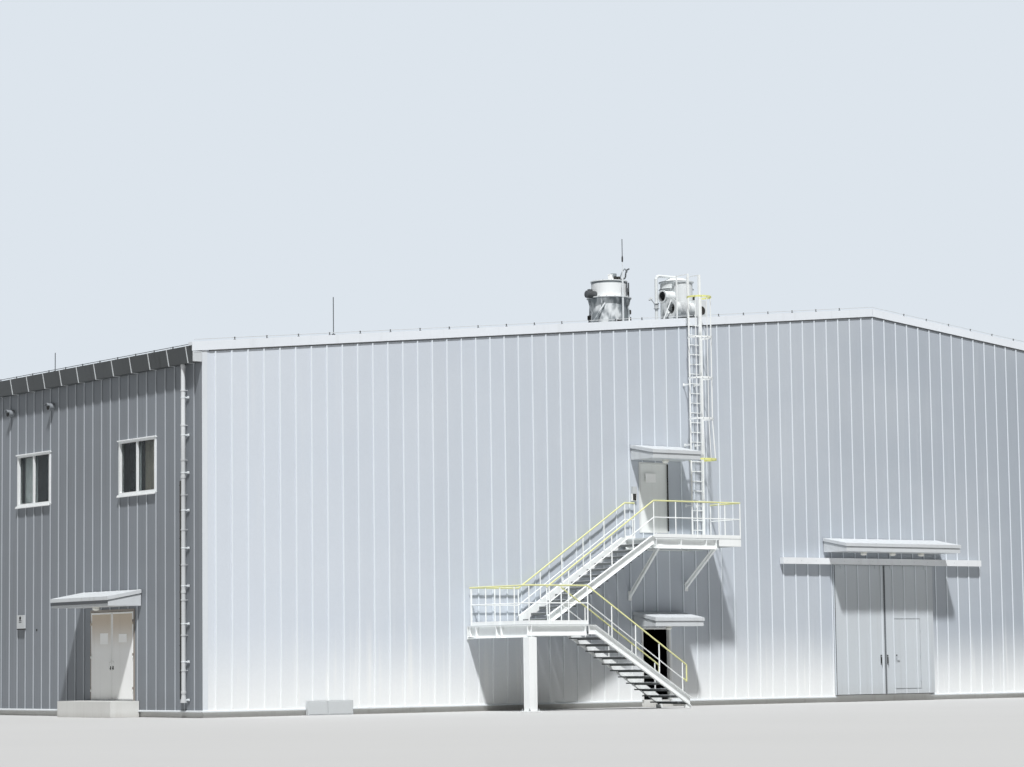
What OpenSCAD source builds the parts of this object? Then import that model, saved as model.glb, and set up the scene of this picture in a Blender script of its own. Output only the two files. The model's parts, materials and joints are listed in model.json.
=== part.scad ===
// Factory building: a steel frame hall with ribbed panel walls, a low pitched roof, a sliding gate,
// an outside stair with two flights and a caged roof ladder.
// One to two scale model: every size is half of the full-size one, in millimetres.
// X runs along the gable front, Y from front to rear, Z up from the ground.
// The origin is the middle of the ground plan at ground level.

/* [Building] */
// Width over the gable front
building_w = 24400; // [23000:100:27000]
// Depth from front to rear
building_d = 18400; // [16400:100:21400]
// Height of the roof's underside at the eaves
eave_z = 4810; // [4700:10:5200]
// Rise of the roof for each unit of run
roof_pitch = 0.1; // [0.06:0.01:0.14]
// Height of the concrete base under the walls
base_h = 70; // [50:5:90]
// How far the base lies back from the wall face
base_inset = 10; // [4:1:20]
// Height of the finished ground floor
floor_z = 100; // [95:1:115]
// Number of frame bays along the depth
bays = 6; // [5:1:7]
// Distance from a gable face to the end frame
frame_inset = 200; // [150:5:260]

/* [Cladding] */
// Thickness of a wall panel
wall_t = 50; // [35:5:70]
// Spacing of the standing ribs
rib_pitch = 250; // [200:10:320]
// Width of a rib at its foot
rib_w = 30; // [20:1:40]
// Width of a rib at its crest
rib_crest = 18; // [8:1:19]
// Height of a rib
rib_h = 12; // [8:1:16]
// Width of a corner trim's leg
trim_w = 75; // [50:5:90]
// Thickness of folded trims
trim_t = 6; // [4:0.5:8]

/* [Roof] */
// Thickness of a roof panel
roof_t = 60; // [40:5:80]
// Spacing of the roof ribs
roof_rib_pitch = 500; // [400:10:600]
// Height of a roof rib
roof_rib_h = 16; // [10:1:22]
// Overhang of the roof past the side walls
roof_overhang = 60; // [40:2:80]
// Half width of the ridge cap
ridge_cap_w = 260; // [180:10:340]
// Height of the rake trim above the roof's underside
rake_up = 105; // [96:1:120]
// Drop of the rake trim below the roof's underside
rake_down = 15; // [8:1:30]
// Depth of the rake trim over the roof
rake_back = 80; // [60:2:100]
// Width of the gutter
gutter_w = 140; // [110:2:170]
// Height of the gutter's underside
gutter_z = 4640; // [4600:5:4680]
// Height of the gutter's front lip over the roof's underside
gutter_lip = 45; // [35:1:55]
// Lean of the gutter's front face outwards
gutter_lean = 40; // [20:2:50]
// Sheet thickness of the gutter
gutter_t = 5; // [4:0.5:7]
// Spacing of the gutter straps
strap_pitch = 500; // [400:10:600]
// Width of a gutter strap
strap_w = 18; // [12:1:24]
// Distance of the straps from the roof ribs' middles
strap_shift = 30; // [28:1:60]
// Thickness of a gutter strap
strap_t = 4; // [3:0.5:5]
// Radius of a downpipe
downpipe_r = 30; // [24:1:36]
// Distance from a gable face to the first downpipe
downpipe_inset = 385; // [330:5:420]
// Distance of the inner downpipes from the middle of the depth
downpipe_mid = 3130; // [3100:5:3160]
// Height of a downpipe's lower end
downpipe_z = 240; // [180:5:300]
// Height of the top downpipe bracket
bracket_top = 4285; // [4100:5:4400]
// Spacing of the downpipe brackets
bracket_pitch = 460; // [400:10:650]
// Height of a downpipe bracket's band
bracket_h = 20; // [14:1:26]
// Spread of a downpipe's foot
shoe_spread = 14; // [8:1:20]

/* [Steel frame] */
// Depth and width of a frame column
column_w = 150; // [120:5:180]
// Depth of a rafter
rafter_h = 300; // [240:10:360]
// Width of a rafter's flange
rafter_w = 100; // [80:5:130]
// Flange thickness of columns and rafters
flange_t = 12; // [8:1:16]
// Web thickness of columns and rafters
web_t = 8; // [6:1:12]
// Depth of a purlin
purlin_h = 100; // [80:5:120]
// Width of a purlin's flanges
purlin_w = 45; // [35:1:60]
// Play between a purlin and what it touches
purlin_play = 0.05; // [0.02:0.01:0.1]
// Number of purlins on each slope
purlins_each = 8; // [7:1:10]

/* [Upper floor] */
// Height of the finished upper floor
upper_floor_z = 2500; // [2480:5:2515]
// Thickness of the upper floor's slab
upper_floor_t = 100; // [80:5:120]
// Distance from the ridge line to the open edge of the upper floor
upper_floor_edge = 3050; // [2800:10:3300]
// Depth of the beams under the upper floor
floor_beam_h = 150; // [120:5:180]
// Width of the beams under the upper floor
floor_beam_w = 90; // [70:5:110]
// Width of a column under the upper floor
floor_column_w = 100; // [80:5:120]

/* [Windows] */
// Width of a window
window_w = 1010; // [900:10:1100]
// Height of a window
window_h = 750; // [650:10:800]
// Height of the window sills
window_z = 3000; // [2950:10:3100]
// Width of the frame bars
window_bar = 38; // [30:1:46]
// How far a window frame stands out from the wall face
window_proud = 16; // [14:1:22]
// Thickness of a glass pane
glass_t = 8; // [6:1:10]

/* [Front gate] */
// Middle of the gate from the ridge line
gate_x = 70; // [20:5:120]
// Width of one sliding leaf
gate_leaf_w = 1060; // [1000:5:1120]
// Height of a sliding leaf's lower edge
gate_leaf_z = 110; // [108:1:120]
// Height of a sliding leaf's upper edge
gate_leaf_top = 2100; // [2000:5:2140]
// Thickness of a sliding leaf
gate_leaf_t = 30; // [24:1:36]
// Running gap between the leaf and the wall ribs
gate_gap = 8; // [6:0.5:12]
// Gap between the two leaves, and round the wicket
leaf_gap = 8; // [6:0.5:10]
// Lap of a leaf over the wall beside the doorway
gate_lap = 50; // [35:1:65]
// Reach of the track cover past the open leaf
track_reach = 20; // [15:1:40]
// Height of the track cover
track_h = 97; // [90:1:110]
// Depth of the track cover in front of the ribs
track_d = 80; // [76:1:90]
// Radius of a leaf's hanging wheels
wheel_r = 20; // [16:1:22]
// Running gap between a wheel and its ledge
wheel_gap = 0.3; // [0.2:0.1:0.6]
// Width of a hanger
hanger_w = 60; // [40:5:80]
// Distance of a hanger from the leaf's end
hanger_inset = 160; // [120:10:240]
// Middle of the wicket from the middle of the gate
wicket_x = 480; // [470:5:500]
// Width of the wicket
wicket_w = 550; // [500:5:570]
// Height of the wicket's lower edge
wicket_z = 190; // [170:5:210]
// Height of the wicket's upper edge
wicket_top = 1265; // [1200:5:1300]

/* [Stair doors] */
// Middle of the two stair doors from the ridge line
stair_door_x = -4540; // [-4560:5:-4500]
// Width of a stair doorway
stair_door_w = 550; // [520:5:570]
// Height of the lower doorway's head
lower_door_top = 1150; // [1120:5:1158]
// Height of the upper doorway's threshold
upper_door_z = 2530; // [2520:5:2545]
// Height of the upper doorway's head
upper_door_top = 3565; // [3500:5:3588]
// Thickness of a door leaf
door_t = 25; // [20:1:30]
// Width of a door frame's bars
door_bar = 28; // [22:1:34]
// Gap round a swinging leaf
door_gap = 6; // [5.5:0.5:8]
// Radius of a hinge knuckle
knuckle_r = 6; // [5:0.5:7]
// Length of one half of a hinge
knuckle_h = 32; // [26:1:40]
// Distance of a hinge pin from the leaf's face
pin_off = 8; // [7:0.5:10]
// Radius of a hinge pin
pin_r = 3; // [2.5:0.1:3.5]
// Length of a pull handle
pull_h = 120; // [90:5:150]
// Stand-off of a pull handle
pull_off = 26; // [20:1:34]
// Height of the side door's handles
side_pull_z = 620; // [560:10:760]
// Height of the gate's pulls
gate_pull_z = 570; // [520:10:640]

/* [Side door] */
// Distance of the side door's middle from the front face
side_door_inset = 2390; // [2360:5:2420]
// Width of the side doorway
side_door_w = 1230; // [1160:5:1280]
// Height of the side doorway's threshold
side_door_z = 200; // [180:5:215]
// Height of the side doorway's head
side_door_top = 1455; // [1400:5:1480]
// How far the step reaches out from the wall
step_d = 450; // [380:10:520]
// How far the step reaches past the doorway at each end
step_side = 130; // [80:5:160]

/* [Canopies] */
// How far a canopy reaches out from the wall
canopy_d = 515; // [450:5:560]
// Height of a canopy's body at the wall
canopy_back_h = 160; // [130:5:180]
// Height of a canopy's body at the front
canopy_front_h = 66; // [50:2:80]
// Height of the groove under a canopy's cover
canopy_groove = 12; // [8:1:16]
// Thickness of a canopy's cover
canopy_cover_t = 48; // [36:2:60]
// Reach of the cover past the body
canopy_lip = 12; // [8:1:18]
// Width of the gate canopy
gate_canopy_w = 2485; // [2400:5:2560]
// Height of the gate canopy's underside
gate_canopy_z = 2292; // [2285:1:2310]
// Width of the canopies over the stair doors
stair_canopy_w = 930; // [880:5:960]
// Shift of the stair door canopies towards the ridge line
stair_canopy_shift = 30; // [0:5:50]
// Height of the lower stair canopy's underside
lower_canopy_z = 1160; // [1159:1:1175]
// Height of the upper stair canopy's underside
upper_canopy_z = 3592; // [3590:1:3610]
// Width of the side canopy
side_canopy_w = 1615; // [1560:5:1660]
// Height of the side canopy's underside
side_canopy_z = 1490; // [1485:1:1510]
// Radius of a canopy light
lamp_r = 48; // [36:2:60]
// Height of a canopy light
lamp_h = 20; // [14:1:26]

/* [Stair] */
// Height of the stair's half landing
landing_z = 1180; // [1160:5:1200]
// Left end of the half landing from the ridge line
landing_x = -7950; // [-8050:10:-7900]
// Right end of the half landing from the ridge line
landing_x2 = -6925; // [-6960:5:-6900]
// Reach of the half landing from the wall
landing_d = 1425; // [1400:5:1460]
// Height of the top landing
top_landing_z = 2430; // [2410:5:2450]
// Left end of the top landing from the ridge line
top_landing_x = -5135; // [-5160:5:-5110]
// Right end of the top landing from the ridge line
top_landing_x2 = -3475; // [-3500:5:-3400]
// Reach of the top landing and the upper flight from the wall
top_landing_d = 715; // [690:5:730]
// Number of risers of the lower flight
lower_risers = 13; // [12:1:14]
// Number of risers of the upper flight
upper_risers = 14; // [13:1:15]
// Going of one tread
going = 145; // [138:1:150]
// Thickness of a tread
tread_t = 18; // [14:1:24]
// Lap of a tread under the one above
tread_lap = 14; // [8:1:20]
// Inner edge of the lower flight from the wall
lower_lane = 810; // [790:5:830]
// Inner edge of the upper flight from the wall
upper_lane = 60; // [50:2:70]
// Depth of a stringer
stringer_h = 130; // [110:5:150]
// Width of a stringer's flange
stringer_w = 36; // [28:2:44]
// Thickness of the stair's plates
plate_t = 7; // [5:0.5:9]
// Depth of the half landing's beams
landing_beam_h = 165; // [140:5:180]
// Width of the landings' beams
landing_beam_w = 90; // [70:5:110]
// Depth of the top landing's beams
top_beam_h = 145; // [120:5:160]
// Thickness of the landings' deck
deck_t = 14; // [10:1:18]
// Width and depth of the post under the half landing
post_w = 130; // [110:5:150]
// Width of a wall brace
brace_w = 36; // [28:2:44]
// Height of a wall brace's foot
brace_z = 1610; // [1560:10:1700]

/* [Railings] */
// Height of the handrail over the decks and the tread noses
rail_h = 525; // [480:5:560]
// Height of the middle rail
rail_mid_h = 285; // [240:5:320]
// Radius of the handrails
rail_r = 11; // [9:0.5:14]
// Radius of the posts and middle rails
post_r = 9; // [7:0.5:11]
// Height of the toe boards
toe_h = 50; // [40:2:60]
// Largest spacing of the railing posts
post_gap = 430; // [340:10:520]

/* [Ladder] */
// Middle of the ladder from the ridge line
ladder_x = -3820; // [-3860:5:-3780]
// Distance of the ladder from the wall face
ladder_off = 150; // [120:5:180]
// Width between the ladder's stiles
ladder_w = 205; // [180:5:230]
// Spacing of the rungs
rung_pitch = 145; // [120:5:165]
// Reach of the stiles over the roof edge
ladder_over = 640; // [560:10:700]
// Height of the lowest wall brackets over the top landing
ladder_bracket_z = 500; // [400:20:700]
// Spacing of the wall brackets
ladder_bracket_pitch = 900; // [700:20:1000]
// Radius of the safety cage
cage_r = 178; // [160:2:200]
// Height of the cage's lowest hoop
cage_z = 3600; // [3560:10:3660]
// Spacing of the cage's hoops
hoop_pitch = 605; // [560:5:640]
// Number of hoops
hoops = 5; // [5:1:6]
// Flare of the lowest hoop
cage_flare = 35; // [20:1:38]
// Height of a hoop's flat bar
hoop_h = 26; // [20:1:32]
// Thickness of a hoop's flat bar
hoop_t = 5; // [4:0.5:7]

/* [Roof equipment] */
// Middle of the filter vessel from the ridge line
vessel_x = -3735; // [-3800:5:-3650]
// Distance of the roof equipment from the front face
vessel_y = 1950; // [1940:1:1960]
// Height of the kerbs under the roof equipment
kerb_h = 60; // [50:5:80]
// Width of the kerbs, which fit between two roof ribs
kerb_w = 420; // [380:5:450]
// Radius of the vessel's lower shell
vessel_r = 290; // [270:5:310]
// Height of the vessel's lower shell over the roof
vessel_h = 480; // [440:10:540]
// Radius of the vessel's ring platform
ring_r = 350; // [330:5:380]
// Thickness of the ring platform and its gussets
ring_t = 12; // [8:1:16]
// Height of the gussets under the ring platform
gusset_h = 200; // [160:10:260]
// Radius of the vessel's lid
lid_r = 288; // [270:2:300]
// Height of the vessel's head
head_h = 250; // [220:5:280]
// Radius of the motor on the ring platform and of the valve on the lid
motor_r = 48; // [36:2:60]
// Radius of the bent pipe on the lid
goose_r = 9; // [7:1:12]
// Middle of the fan drum from the ridge line
drum_x = -2365; // [-2440:5:-2300]
// Radius of the fan drum
drum_r = 255; // [225:5:270]
// Height of the fan drum over the roof
drum_h = 700; // [640:10:760]
// Height of the drum's cone
drum_cone_h = 60; // [40:5:90]
// Reach of the drum's rings
drum_ring = 20; // [12:2:30]
// Radius of the small drum in front
front_drum_r = 150; // [130:5:170]
// Height of the small drum's lid over the foot of the fan drum
front_drum_h = 660; // [600:10:700]
// Radius of the branch at the drum's side
branch_r = 90; // [75:5:100]
// Height of the branch over the foot of the fan drum
branch_z = 430; // [390:10:460]
// Radius of the fan's duct
duct_r = 120; // [105:5:130]
// Radius of the flange round the duct's mouth
duct_flange_r = 158; // [145:2:165]
// Height of the duct's middle over the foot of the fan drum
duct_z = 220; // [210:5:250]
// Length of the fan's duct
duct_long = 420; // [380:10:460]
// Width of the fan's box
fan_w = 230; // [200:5:260]
// Width of the posts and feet under the duct
duct_post_w = 44; // [36:2:60]
// Radius of the bent vent pipe
vent_r = 24; // [18:1:28]
// Distance between the legs of the vent pipe
vent_span = 475; // [440:5:510]
// Height of the vent pipe over the roof
vent_h = 880; // [820:10:940]

/* [Fittings] */
// Radius of a wall vent hood
hood_r = 52; // [44:2:60]
// Height of the wall vent hoods
hood_z = 4375; // [4300:5:4450]
// Distances of the vent hoods from the front face
hood_inset = [4130, 5375]; // [3600:5:6200]
// Left ends of the boxes at the foot of the front wall, from the ridge line
base_box_x = [-10620, -10300]; // [-11500:10:-9000]
// Widths of the boxes at the foot of the front wall
base_box_w = [314, 400]; // [200:2:420]
// Height of the boxes at the foot of the front wall
base_box_h = 190; // [120:5:240]
// Depth of the boxes at the foot of the front wall
base_box_d = 62; // [40:2:80]
// Distance of the box beside the upper stair door from the doorway
door_box_gap = 65; // [40:5:120]
// Width of the box beside the upper stair door
door_box_w = 80; // [60:5:100]
// Height of the lower edge of the box beside the upper stair door
door_box_z = 3095; // [3000:5:3200]
// Height of the box beside the upper stair door
door_box_h = 105; // [80:5:130]
// Depth of the box beside the upper stair door
door_box_d = 40; // [30:1:50]
// Distance of the side wall's box from the front face
side_box_inset = 4930; // [4900:10:5060]
// Width of the side wall's box
side_box_w = 210; // [160:5:220]
// Height of the lower edge of the side wall's box
side_box_z = 1240; // [1180:5:1300]
// Height of the side wall's box
side_box_h = 195; // [150:5:240]
// Depth of the side wall's box
side_box_d = 45; // [30:1:60]
// Radius of a lightning rod
rod_r = 6; // [4:0.5:8]
// Height of a lightning rod
rod_h = 505; // [440:5:600]
// Height of the lightning rod on the left eave
eave_rod_h = 260; // [220:10:320]
// Distance of the eave's lightning rod from the front face
eave_rod_inset = 4020; // [3980:5:4060]
// Height of the tall mast
mast_h = 1420; // [1300:10:1500]
// Radius of the mast's lower tube
mast_r = 15; // [12:1:18]

/* [Hidden] */
$fn = 48;
half_w = building_w / 2;
half_d = building_d / 2;
ridge_z = eave_z + roof_pitch * half_w;
roof_angle = atan(roof_pitch);
// Roof thickness measured straight up
roof_rise = roof_t / cos(roof_angle);
frame_gap = (building_d - 2 * frame_inset) / bays;
frame_lines = [for (i = [0 : bays]) -half_d + frame_inset + i * frame_gap];
window_lines = [for (i = [0 : bays - 1]) frame_lines[i] + frame_gap / 2];
gutter_x = half_w + rib_h;
gutter_x1 = gutter_x + gutter_w;
gutter_top = eave_z + gutter_lip;
// End of the rake trims, just past the gutter
rake_end = gutter_x1 + 2 * strap_t;
gate_x0 = gate_x - gate_leaf_w + gate_lap;
gate_x1 = gate_x + gate_leaf_w - gate_lap;
gate_head = gate_leaf_top - gate_lap;
stair_x0 = stair_door_x - stair_door_w / 2;
stair_x1 = stair_door_x + stair_door_w / 2;
side_door_x = half_d - side_door_inset;
side_x0 = side_door_x - side_door_w / 2;
side_x1 = side_door_x + side_door_w / 2;
// Faces of a sliding leaf, measured out from the wall face
gate_back = rib_h + gate_gap;
gate_front = gate_back + gate_leaf_t;
window_top = window_z + window_h;
lower_rise = landing_z / lower_risers;
upper_rise = (top_landing_z - landing_z) / upper_risers;
upper_foot_x = top_landing_x - going * (upper_risers - 1);
// Bar with eight sides for tubes
tube_fn = 8;

// Height of the roof's underside above the ground at a place across the building
function roof_under(x) = eave_z + roof_pitch * (half_w - abs(x));
function roof_top(x) = roof_under(x) + roof_rise;

// Places of the ribs that fit whole between two ends of a panel
function rib_places(x0, x1, pitch) =
    [for (k = [ceil((x0 + rib_w / 2 + 1) / pitch) : floor((x1 - rib_w / 2 - 1) / pitch)]) k * pitch];

// Outline of a ribbed panel seen from above, ribs towards -Y
function panel_outline(x0, x1, thick, pitch, high) = concat(
    [[x0, thick], [x0, 0]],
    [for (x = rib_places(x0, x1, pitch), p = [[-rib_w / 2, 0], [-rib_crest / 2, -high],
        [rib_crest / 2, -high], [rib_w / 2, 0]]) [x + p[0], p[1]]],
    [[x1, 0], [x1, thick]]);

// Each wall is drawn as seen from outside: x to the right, y into the building, z up
module on_front() { translate([0, -half_d, 0]) children(); }
module on_rear() { translate([0, half_d, 0]) rotate([0, 0, 180]) children(); }
module on_left() { translate([-half_w, 0, 0]) rotate([0, 0, -90]) children(); }
module on_right() { translate([half_w, 0, 0]) rotate([0, 0, 90]) children(); }

module box(low, high) { translate(low) cube(high - low); }

// Plate drawn in the X-Z plane and given a depth from y0 to y1
module standing_plate(points, y0, y1) {
    translate([0, y1, 0]) rotate([90, 0, 0]) linear_extrude(y1 - y0) polygon(points);
}

// Plate drawn in the Y-Z plane and given a width from x0 to x1
module cross_plate(points, x0, x1) {
    translate([x0, 0, 0]) rotate([90, 0, 90]) linear_extrude(x1 - x0) polygon(points);
}

// Straight tube from one point to another, a little longer at both ends
module tube(a, b, r, lap = 0) {
    run = b - a;
    flat = norm([run[0], run[1]]);
    long = norm(run);
    translate(a) rotate([0, atan2(flat, run[2]), atan2(run[1], run[0])])
        translate([0, 0, -lap]) cylinder(h = long + 2 * lap, r = r, $fn = tube_fn);
}

// Tube that follows a list of points
module tube_run(points, r) {
    for (i = [0 : len(points) - 2]) tube(points[i], points[i + 1], r, r / 3);
}

module panel(x0, x1, z0, z1) {
    translate([0, 0, z0]) linear_extrude(z1 - z0)
        polygon(panel_outline(x0, x1, wall_t, rib_pitch, rib_h));
}

// Space below the roof, used to cut the gable walls to the slope
module under_roof(low_z, margin) {
    standing_plate([[-half_w, low_z], [half_w, low_z], [half_w, eave_z], [0, ridge_z], [-half_w, eave_z]],
        -margin, margin + wall_t);
}

module gable_panel(x0, x1, z0) {
    intersection() {
        panel(x0, x1, z0, ridge_z);
        under_roof(z0, wall_t);
    }
}

module floor_slab() {
    x1 = half_w - base_inset;
    y1 = half_d - base_inset;
    color("#9a9b98") union() {
        box([-x1, -y1, 0], [x1, y1, base_h]);
        box([-half_w + wall_t, -half_d + wall_t, base_h - 1], [half_w - wall_t, half_d - wall_t, floor_z]);
        box([gate_x0, -y1, base_h - 1], [gate_x1, -half_d + wall_t + 1, floor_z]);
        box([stair_x0, -y1, base_h - 1], [stair_x1, -half_d + wall_t + 1, floor_z]);
    }
}

module upper_floor() {
    x0 = -half_w + wall_t;
    y1 = half_d - wall_t;
    beam_top = upper_floor_z - upper_floor_t;
    color("#a8a8a3") difference() {
        union() {
            box([x0, -y1, beam_top], [-upper_floor_edge, y1, upper_floor_z]);
            for (x = floor_rows)
                box([x - floor_beam_w / 2, -y1, beam_top - floor_beam_h],
                    [x + floor_beam_w / 2, y1, beam_top + 1]);
        }
        for (y = frame_lines)
            box([x0 - 1, y - column_w / 2, beam_top - 1],
                [x0 + column_w, y + column_w / 2, upper_floor_z + 1]);
    }
}

// Profile of an I section, flanges across x
function i_outline(w, h, flange, web) = [[-w / 2, -h / 2], [w / 2, -h / 2], [w / 2, -h / 2 + flange],
    [web / 2, -h / 2 + flange], [web / 2, h / 2 - flange], [w / 2, h / 2 - flange], [w / 2, h / 2],
    [-w / 2, h / 2], [-w / 2, h / 2 - flange], [-web / 2, h / 2 - flange], [-web / 2, -h / 2 + flange],
    [-w / 2, -h / 2 + flange]];

// I column of a roof frame, cut to the slope under its rafter
module frame_column(side, y) {
    x = half_w - wall_t - column_w / 2;
    outer = half_w - wall_t;
    inner = outer - column_w;
    outer_top = roof_under(outer) - purlin_h - rafter_h;
    inner_top = roof_under(inner) - purlin_h - rafter_h;
    intersection() {
        translate([side * x, y, floor_z]) rotate([0, 0, 90]) linear_extrude(inner_top - floor_z)
            polygon(i_outline(column_w, column_w, flange_t, web_t));
        standing_plate([[side * outer, floor_z], [side * inner, floor_z], [side * inner, inner_top],
            [side * outer, outer_top]], y - column_w, y + column_w);
    }
}

// Places across the building of the column rows under the upper floor
floor_rows = [(-half_w + wall_t - upper_floor_edge) / 2, -upper_floor_edge - floor_beam_w / 2];

module hall_columns() {
    top = upper_floor_z - upper_floor_t - floor_beam_h;
    w = floor_column_w / 2;
    color("#9aa0a4") for (y = frame_lines) {
        for (side = [-1, 1]) frame_column(side, y);
        for (x = floor_rows) box([x - w, y - w, floor_z], [x + w, y + w, top]);
    }
}

// Band that follows the roof's slope between two places on the side of positive x, at depths
// under the roof's underside
module slope_bar(x0, x1, top, low, y0, y1) {
    standing_plate([[x0, roof_under(x0) - low], [x1, roof_under(x1) - low], [x1, roof_under(x1) - top],
        [x0, roof_under(x0) - top]], y0, y1);
}

// Rafters of the roof frames, from the eaves to the ridge, on the side of positive x
module rafter_half() {
    x1 = half_w - wall_t;
    top = purlin_h;
    low = purlin_h + rafter_h;
    for (y = frame_lines) union() {
        slope_bar(0, x1, top, low, y - web_t / 2, y + web_t / 2);
        slope_bar(0, x1, top, top + flange_t, y - rafter_w / 2, y + rafter_w / 2);
        slope_bar(0, x1, low - flange_t, low, y - rafter_w / 2, y + rafter_w / 2);
        slope_bar(0, flange_t, top, low, y - rafter_w / 2, y + rafter_w / 2);
    }
}

// Purlin with a C section, which carries the roof panels from frame to frame
module purlin(x) {
    t = flange_t / 3;
    low = purlin_h - purlin_play;
    end = half_d - wall_t;
    union() {
        slope_bar(x, x + t, purlin_play, low, -end, end);
        slope_bar(x, x + purlin_w, purlin_play, t, -end, end);
        slope_bar(x, x + purlin_w, low - t, low, -end, end);
    }
}

module purlins() {
    first = ridge_cap_w / 2;
    last = half_w - wall_t - purlin_w;
    color("#b3b7ba") for (side = [0, 1], i = [0 : purlins_each - 1])
        mirror([side, 0, 0]) purlin(first + (last - first) * i / (purlins_each - 1));
}

module rafters_left() { color("#9aa0a4") mirror([1, 0, 0]) rafter_half(); }
module rafters_right() { color("#9aa0a4") rafter_half(); }

module front_wall() {
    color("#c3cbd2") on_front() {
        gable_panel(-half_w, stair_x0, base_h);
        gable_panel(stair_x1, gate_x0, base_h);
        gable_panel(gate_x1, half_w, base_h);
    }
}

module front_wall_over_doors() {
    color("#c3cbd2") on_front() {
        panel(stair_x0, stair_x1, lower_door_top, upper_door_z);
        gable_panel(stair_x0, stair_x1, upper_door_top);
        gable_panel(gate_x0, gate_x1, gate_head);
    }
}

module rear_wall() { color("#c3cbd2") on_rear() gable_panel(-half_w, half_w, base_h); }

module side_wall_lower() {
    y1 = half_d - wall_t;
    color("#b4bac0") {
        on_left() {
            panel(-y1, side_x0, base_h, side_door_top);
            panel(side_x1, y1, base_h, side_door_top);
        }
        on_right() panel(-y1, y1, base_h, side_door_top);
    }
}

module side_band(z0, z1) {
    y1 = half_d - wall_t;
    on_left() panel(-y1, y1, z0, z1);
    on_right() panel(-y1, y1, z0, z1);
}

module side_wall_bands() {
    color("#b4bac0") {
        side_band(side_door_top, window_z);
        side_band(window_top, roof_under(gutter_x));
    }
}

module side_wall_piers() {
    y1 = half_d - wall_t;
    ends = concat([-y1 - window_w / 2], window_lines, [y1 + window_w / 2]);
    color("#b4bac0") for (i = [0 : bays]) {
        on_left() panel(ends[i] + window_w / 2, ends[i + 1] - window_w / 2, window_z, window_top);
        on_right() panel(ends[i] + window_w / 2, ends[i + 1] - window_w / 2, window_z, window_top);
    }
}

// Ribbed roof slope on the side of negative x
module roof_slope() {
    x0 = half_w + roof_overhang;
    translate([-x0, 0, roof_under(x0)]) rotate([0, 90 - roof_angle, 0]) rotate([0, 0, -90])
        translate([0, -roof_t, 0]) linear_extrude(x0 / cos(roof_angle))
            polygon(panel_outline(-half_d, half_d, roof_t, roof_rib_pitch, roof_rib_h));
}

module roof_left() { color("#c9ced3") roof_slope(); }
module roof_right() { color("#c9ced3") mirror([1, 0, 0]) roof_slope(); }

module ridge_cap() {
    seat = roof_rib_h / cos(roof_angle);
    low = roof_top(ridge_cap_w) + seat;
    high = roof_top(0) + seat;
    end = half_d - rake_back - trim_t;
    standing_plate([[-ridge_cap_w, low], [0, high], [ridge_cap_w, low],
        [ridge_cap_w, low + trim_t], [0, high + trim_t], [-ridge_cap_w, low + trim_t]], -end, end);
}

// Strip that follows the slope from -x0 to the ridge, between two heights over the underside
module slope_band(x0, low, high, y0, y1) {
    x1 = trim_t / 2;
    standing_plate([[-x0, roof_under(x0) + low], [-x1, roof_under(x1) + low],
        [-x1, roof_under(x1) + high], [-x0, roof_under(x0) + high]], y0, y1);
}

module rake_trim() {
    face = half_d + rib_h;
    back = half_d - rake_back;
    union() {
        slope_band(rake_end, -rake_down, rake_up, -face - trim_t, -face);
        slope_band(rake_end, rake_up - trim_t, rake_up, -face - trim_t, -back);
        slope_band(half_w + roof_overhang, roof_rise, rake_up, -back - trim_t, -back);
        box([-rake_end, -face - trim_t, gutter_top + 2 * strap_t],
            [-rake_end + trim_t, -back, roof_under(rake_end) + rake_up]);
    }
}

module roof_trims() {
    color("#f1f3f4") {
        ridge_cap();
        for (sx = [0, 1], sy = [0, 1]) mirror([sx, 0, 0]) mirror([0, sy, 0]) rake_trim();
    }
}

// Height of the gutter's back edge, just under the roof
function gutter_back_z() = roof_under(half_w + roof_overhang) - 6;

module gutter_right() {
    low_x1 = gutter_x1 - gutter_lean;
    end = half_d + rib_h;
    union() {
        standing_plate([[gutter_x, gutter_z], [low_x1, gutter_z], [gutter_x1, gutter_top],
            [gutter_x1 - gutter_t, gutter_top], [low_x1 - gutter_t, gutter_z + gutter_t],
            [gutter_x + gutter_t, gutter_z + gutter_t], [gutter_x + gutter_t, gutter_back_z()],
            [gutter_x, gutter_back_z()]], -end, end);
        for (y = [-end, end - gutter_t]) standing_plate([[gutter_x, gutter_z], [low_x1, gutter_z],
            [gutter_x1 - gutter_t, gutter_top - gutter_lip], [gutter_x, gutter_top - gutter_lip - 6]],
            y, y + gutter_t);
    }
}

module gutters() {
    color("#7f8588") {
        gutter_right();
        mirror([1, 0, 0]) gutter_right();
    }
}

// Strap round the gutter's front, hooked over the roof's edge
module strap_right() {
    low_x1 = gutter_x1 - gutter_lean;
    edge = half_w + roof_overhang + roof_t * sin(roof_angle) + 1;
    hook = half_w + roof_overhang - strap_w * 1.5;
    standing_plate([[gutter_x, gutter_z - strap_t], [low_x1 + strap_t, gutter_z - strap_t],
        [gutter_x1 + strap_t, gutter_top + strap_t], [edge, roof_top(edge) + strap_t],
        [hook, roof_top(hook) + strap_t], [hook, roof_top(hook)], [edge, roof_top(edge)],
        [gutter_x1 - gutter_t, gutter_top], [gutter_x1, gutter_top], [low_x1, gutter_z],
        [gutter_x, gutter_z]], -strap_w / 2, strap_w / 2);
}

module gutter_straps() {
    count = floor((half_d - rake_back - strap_w) / strap_pitch);
    color("#eef0f1") for (k = [-count : count]) translate([0, k * strap_pitch - strap_shift, 0]) {
        strap_right();
        mirror([1, 0, 0]) strap_right();
    }
}

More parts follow.
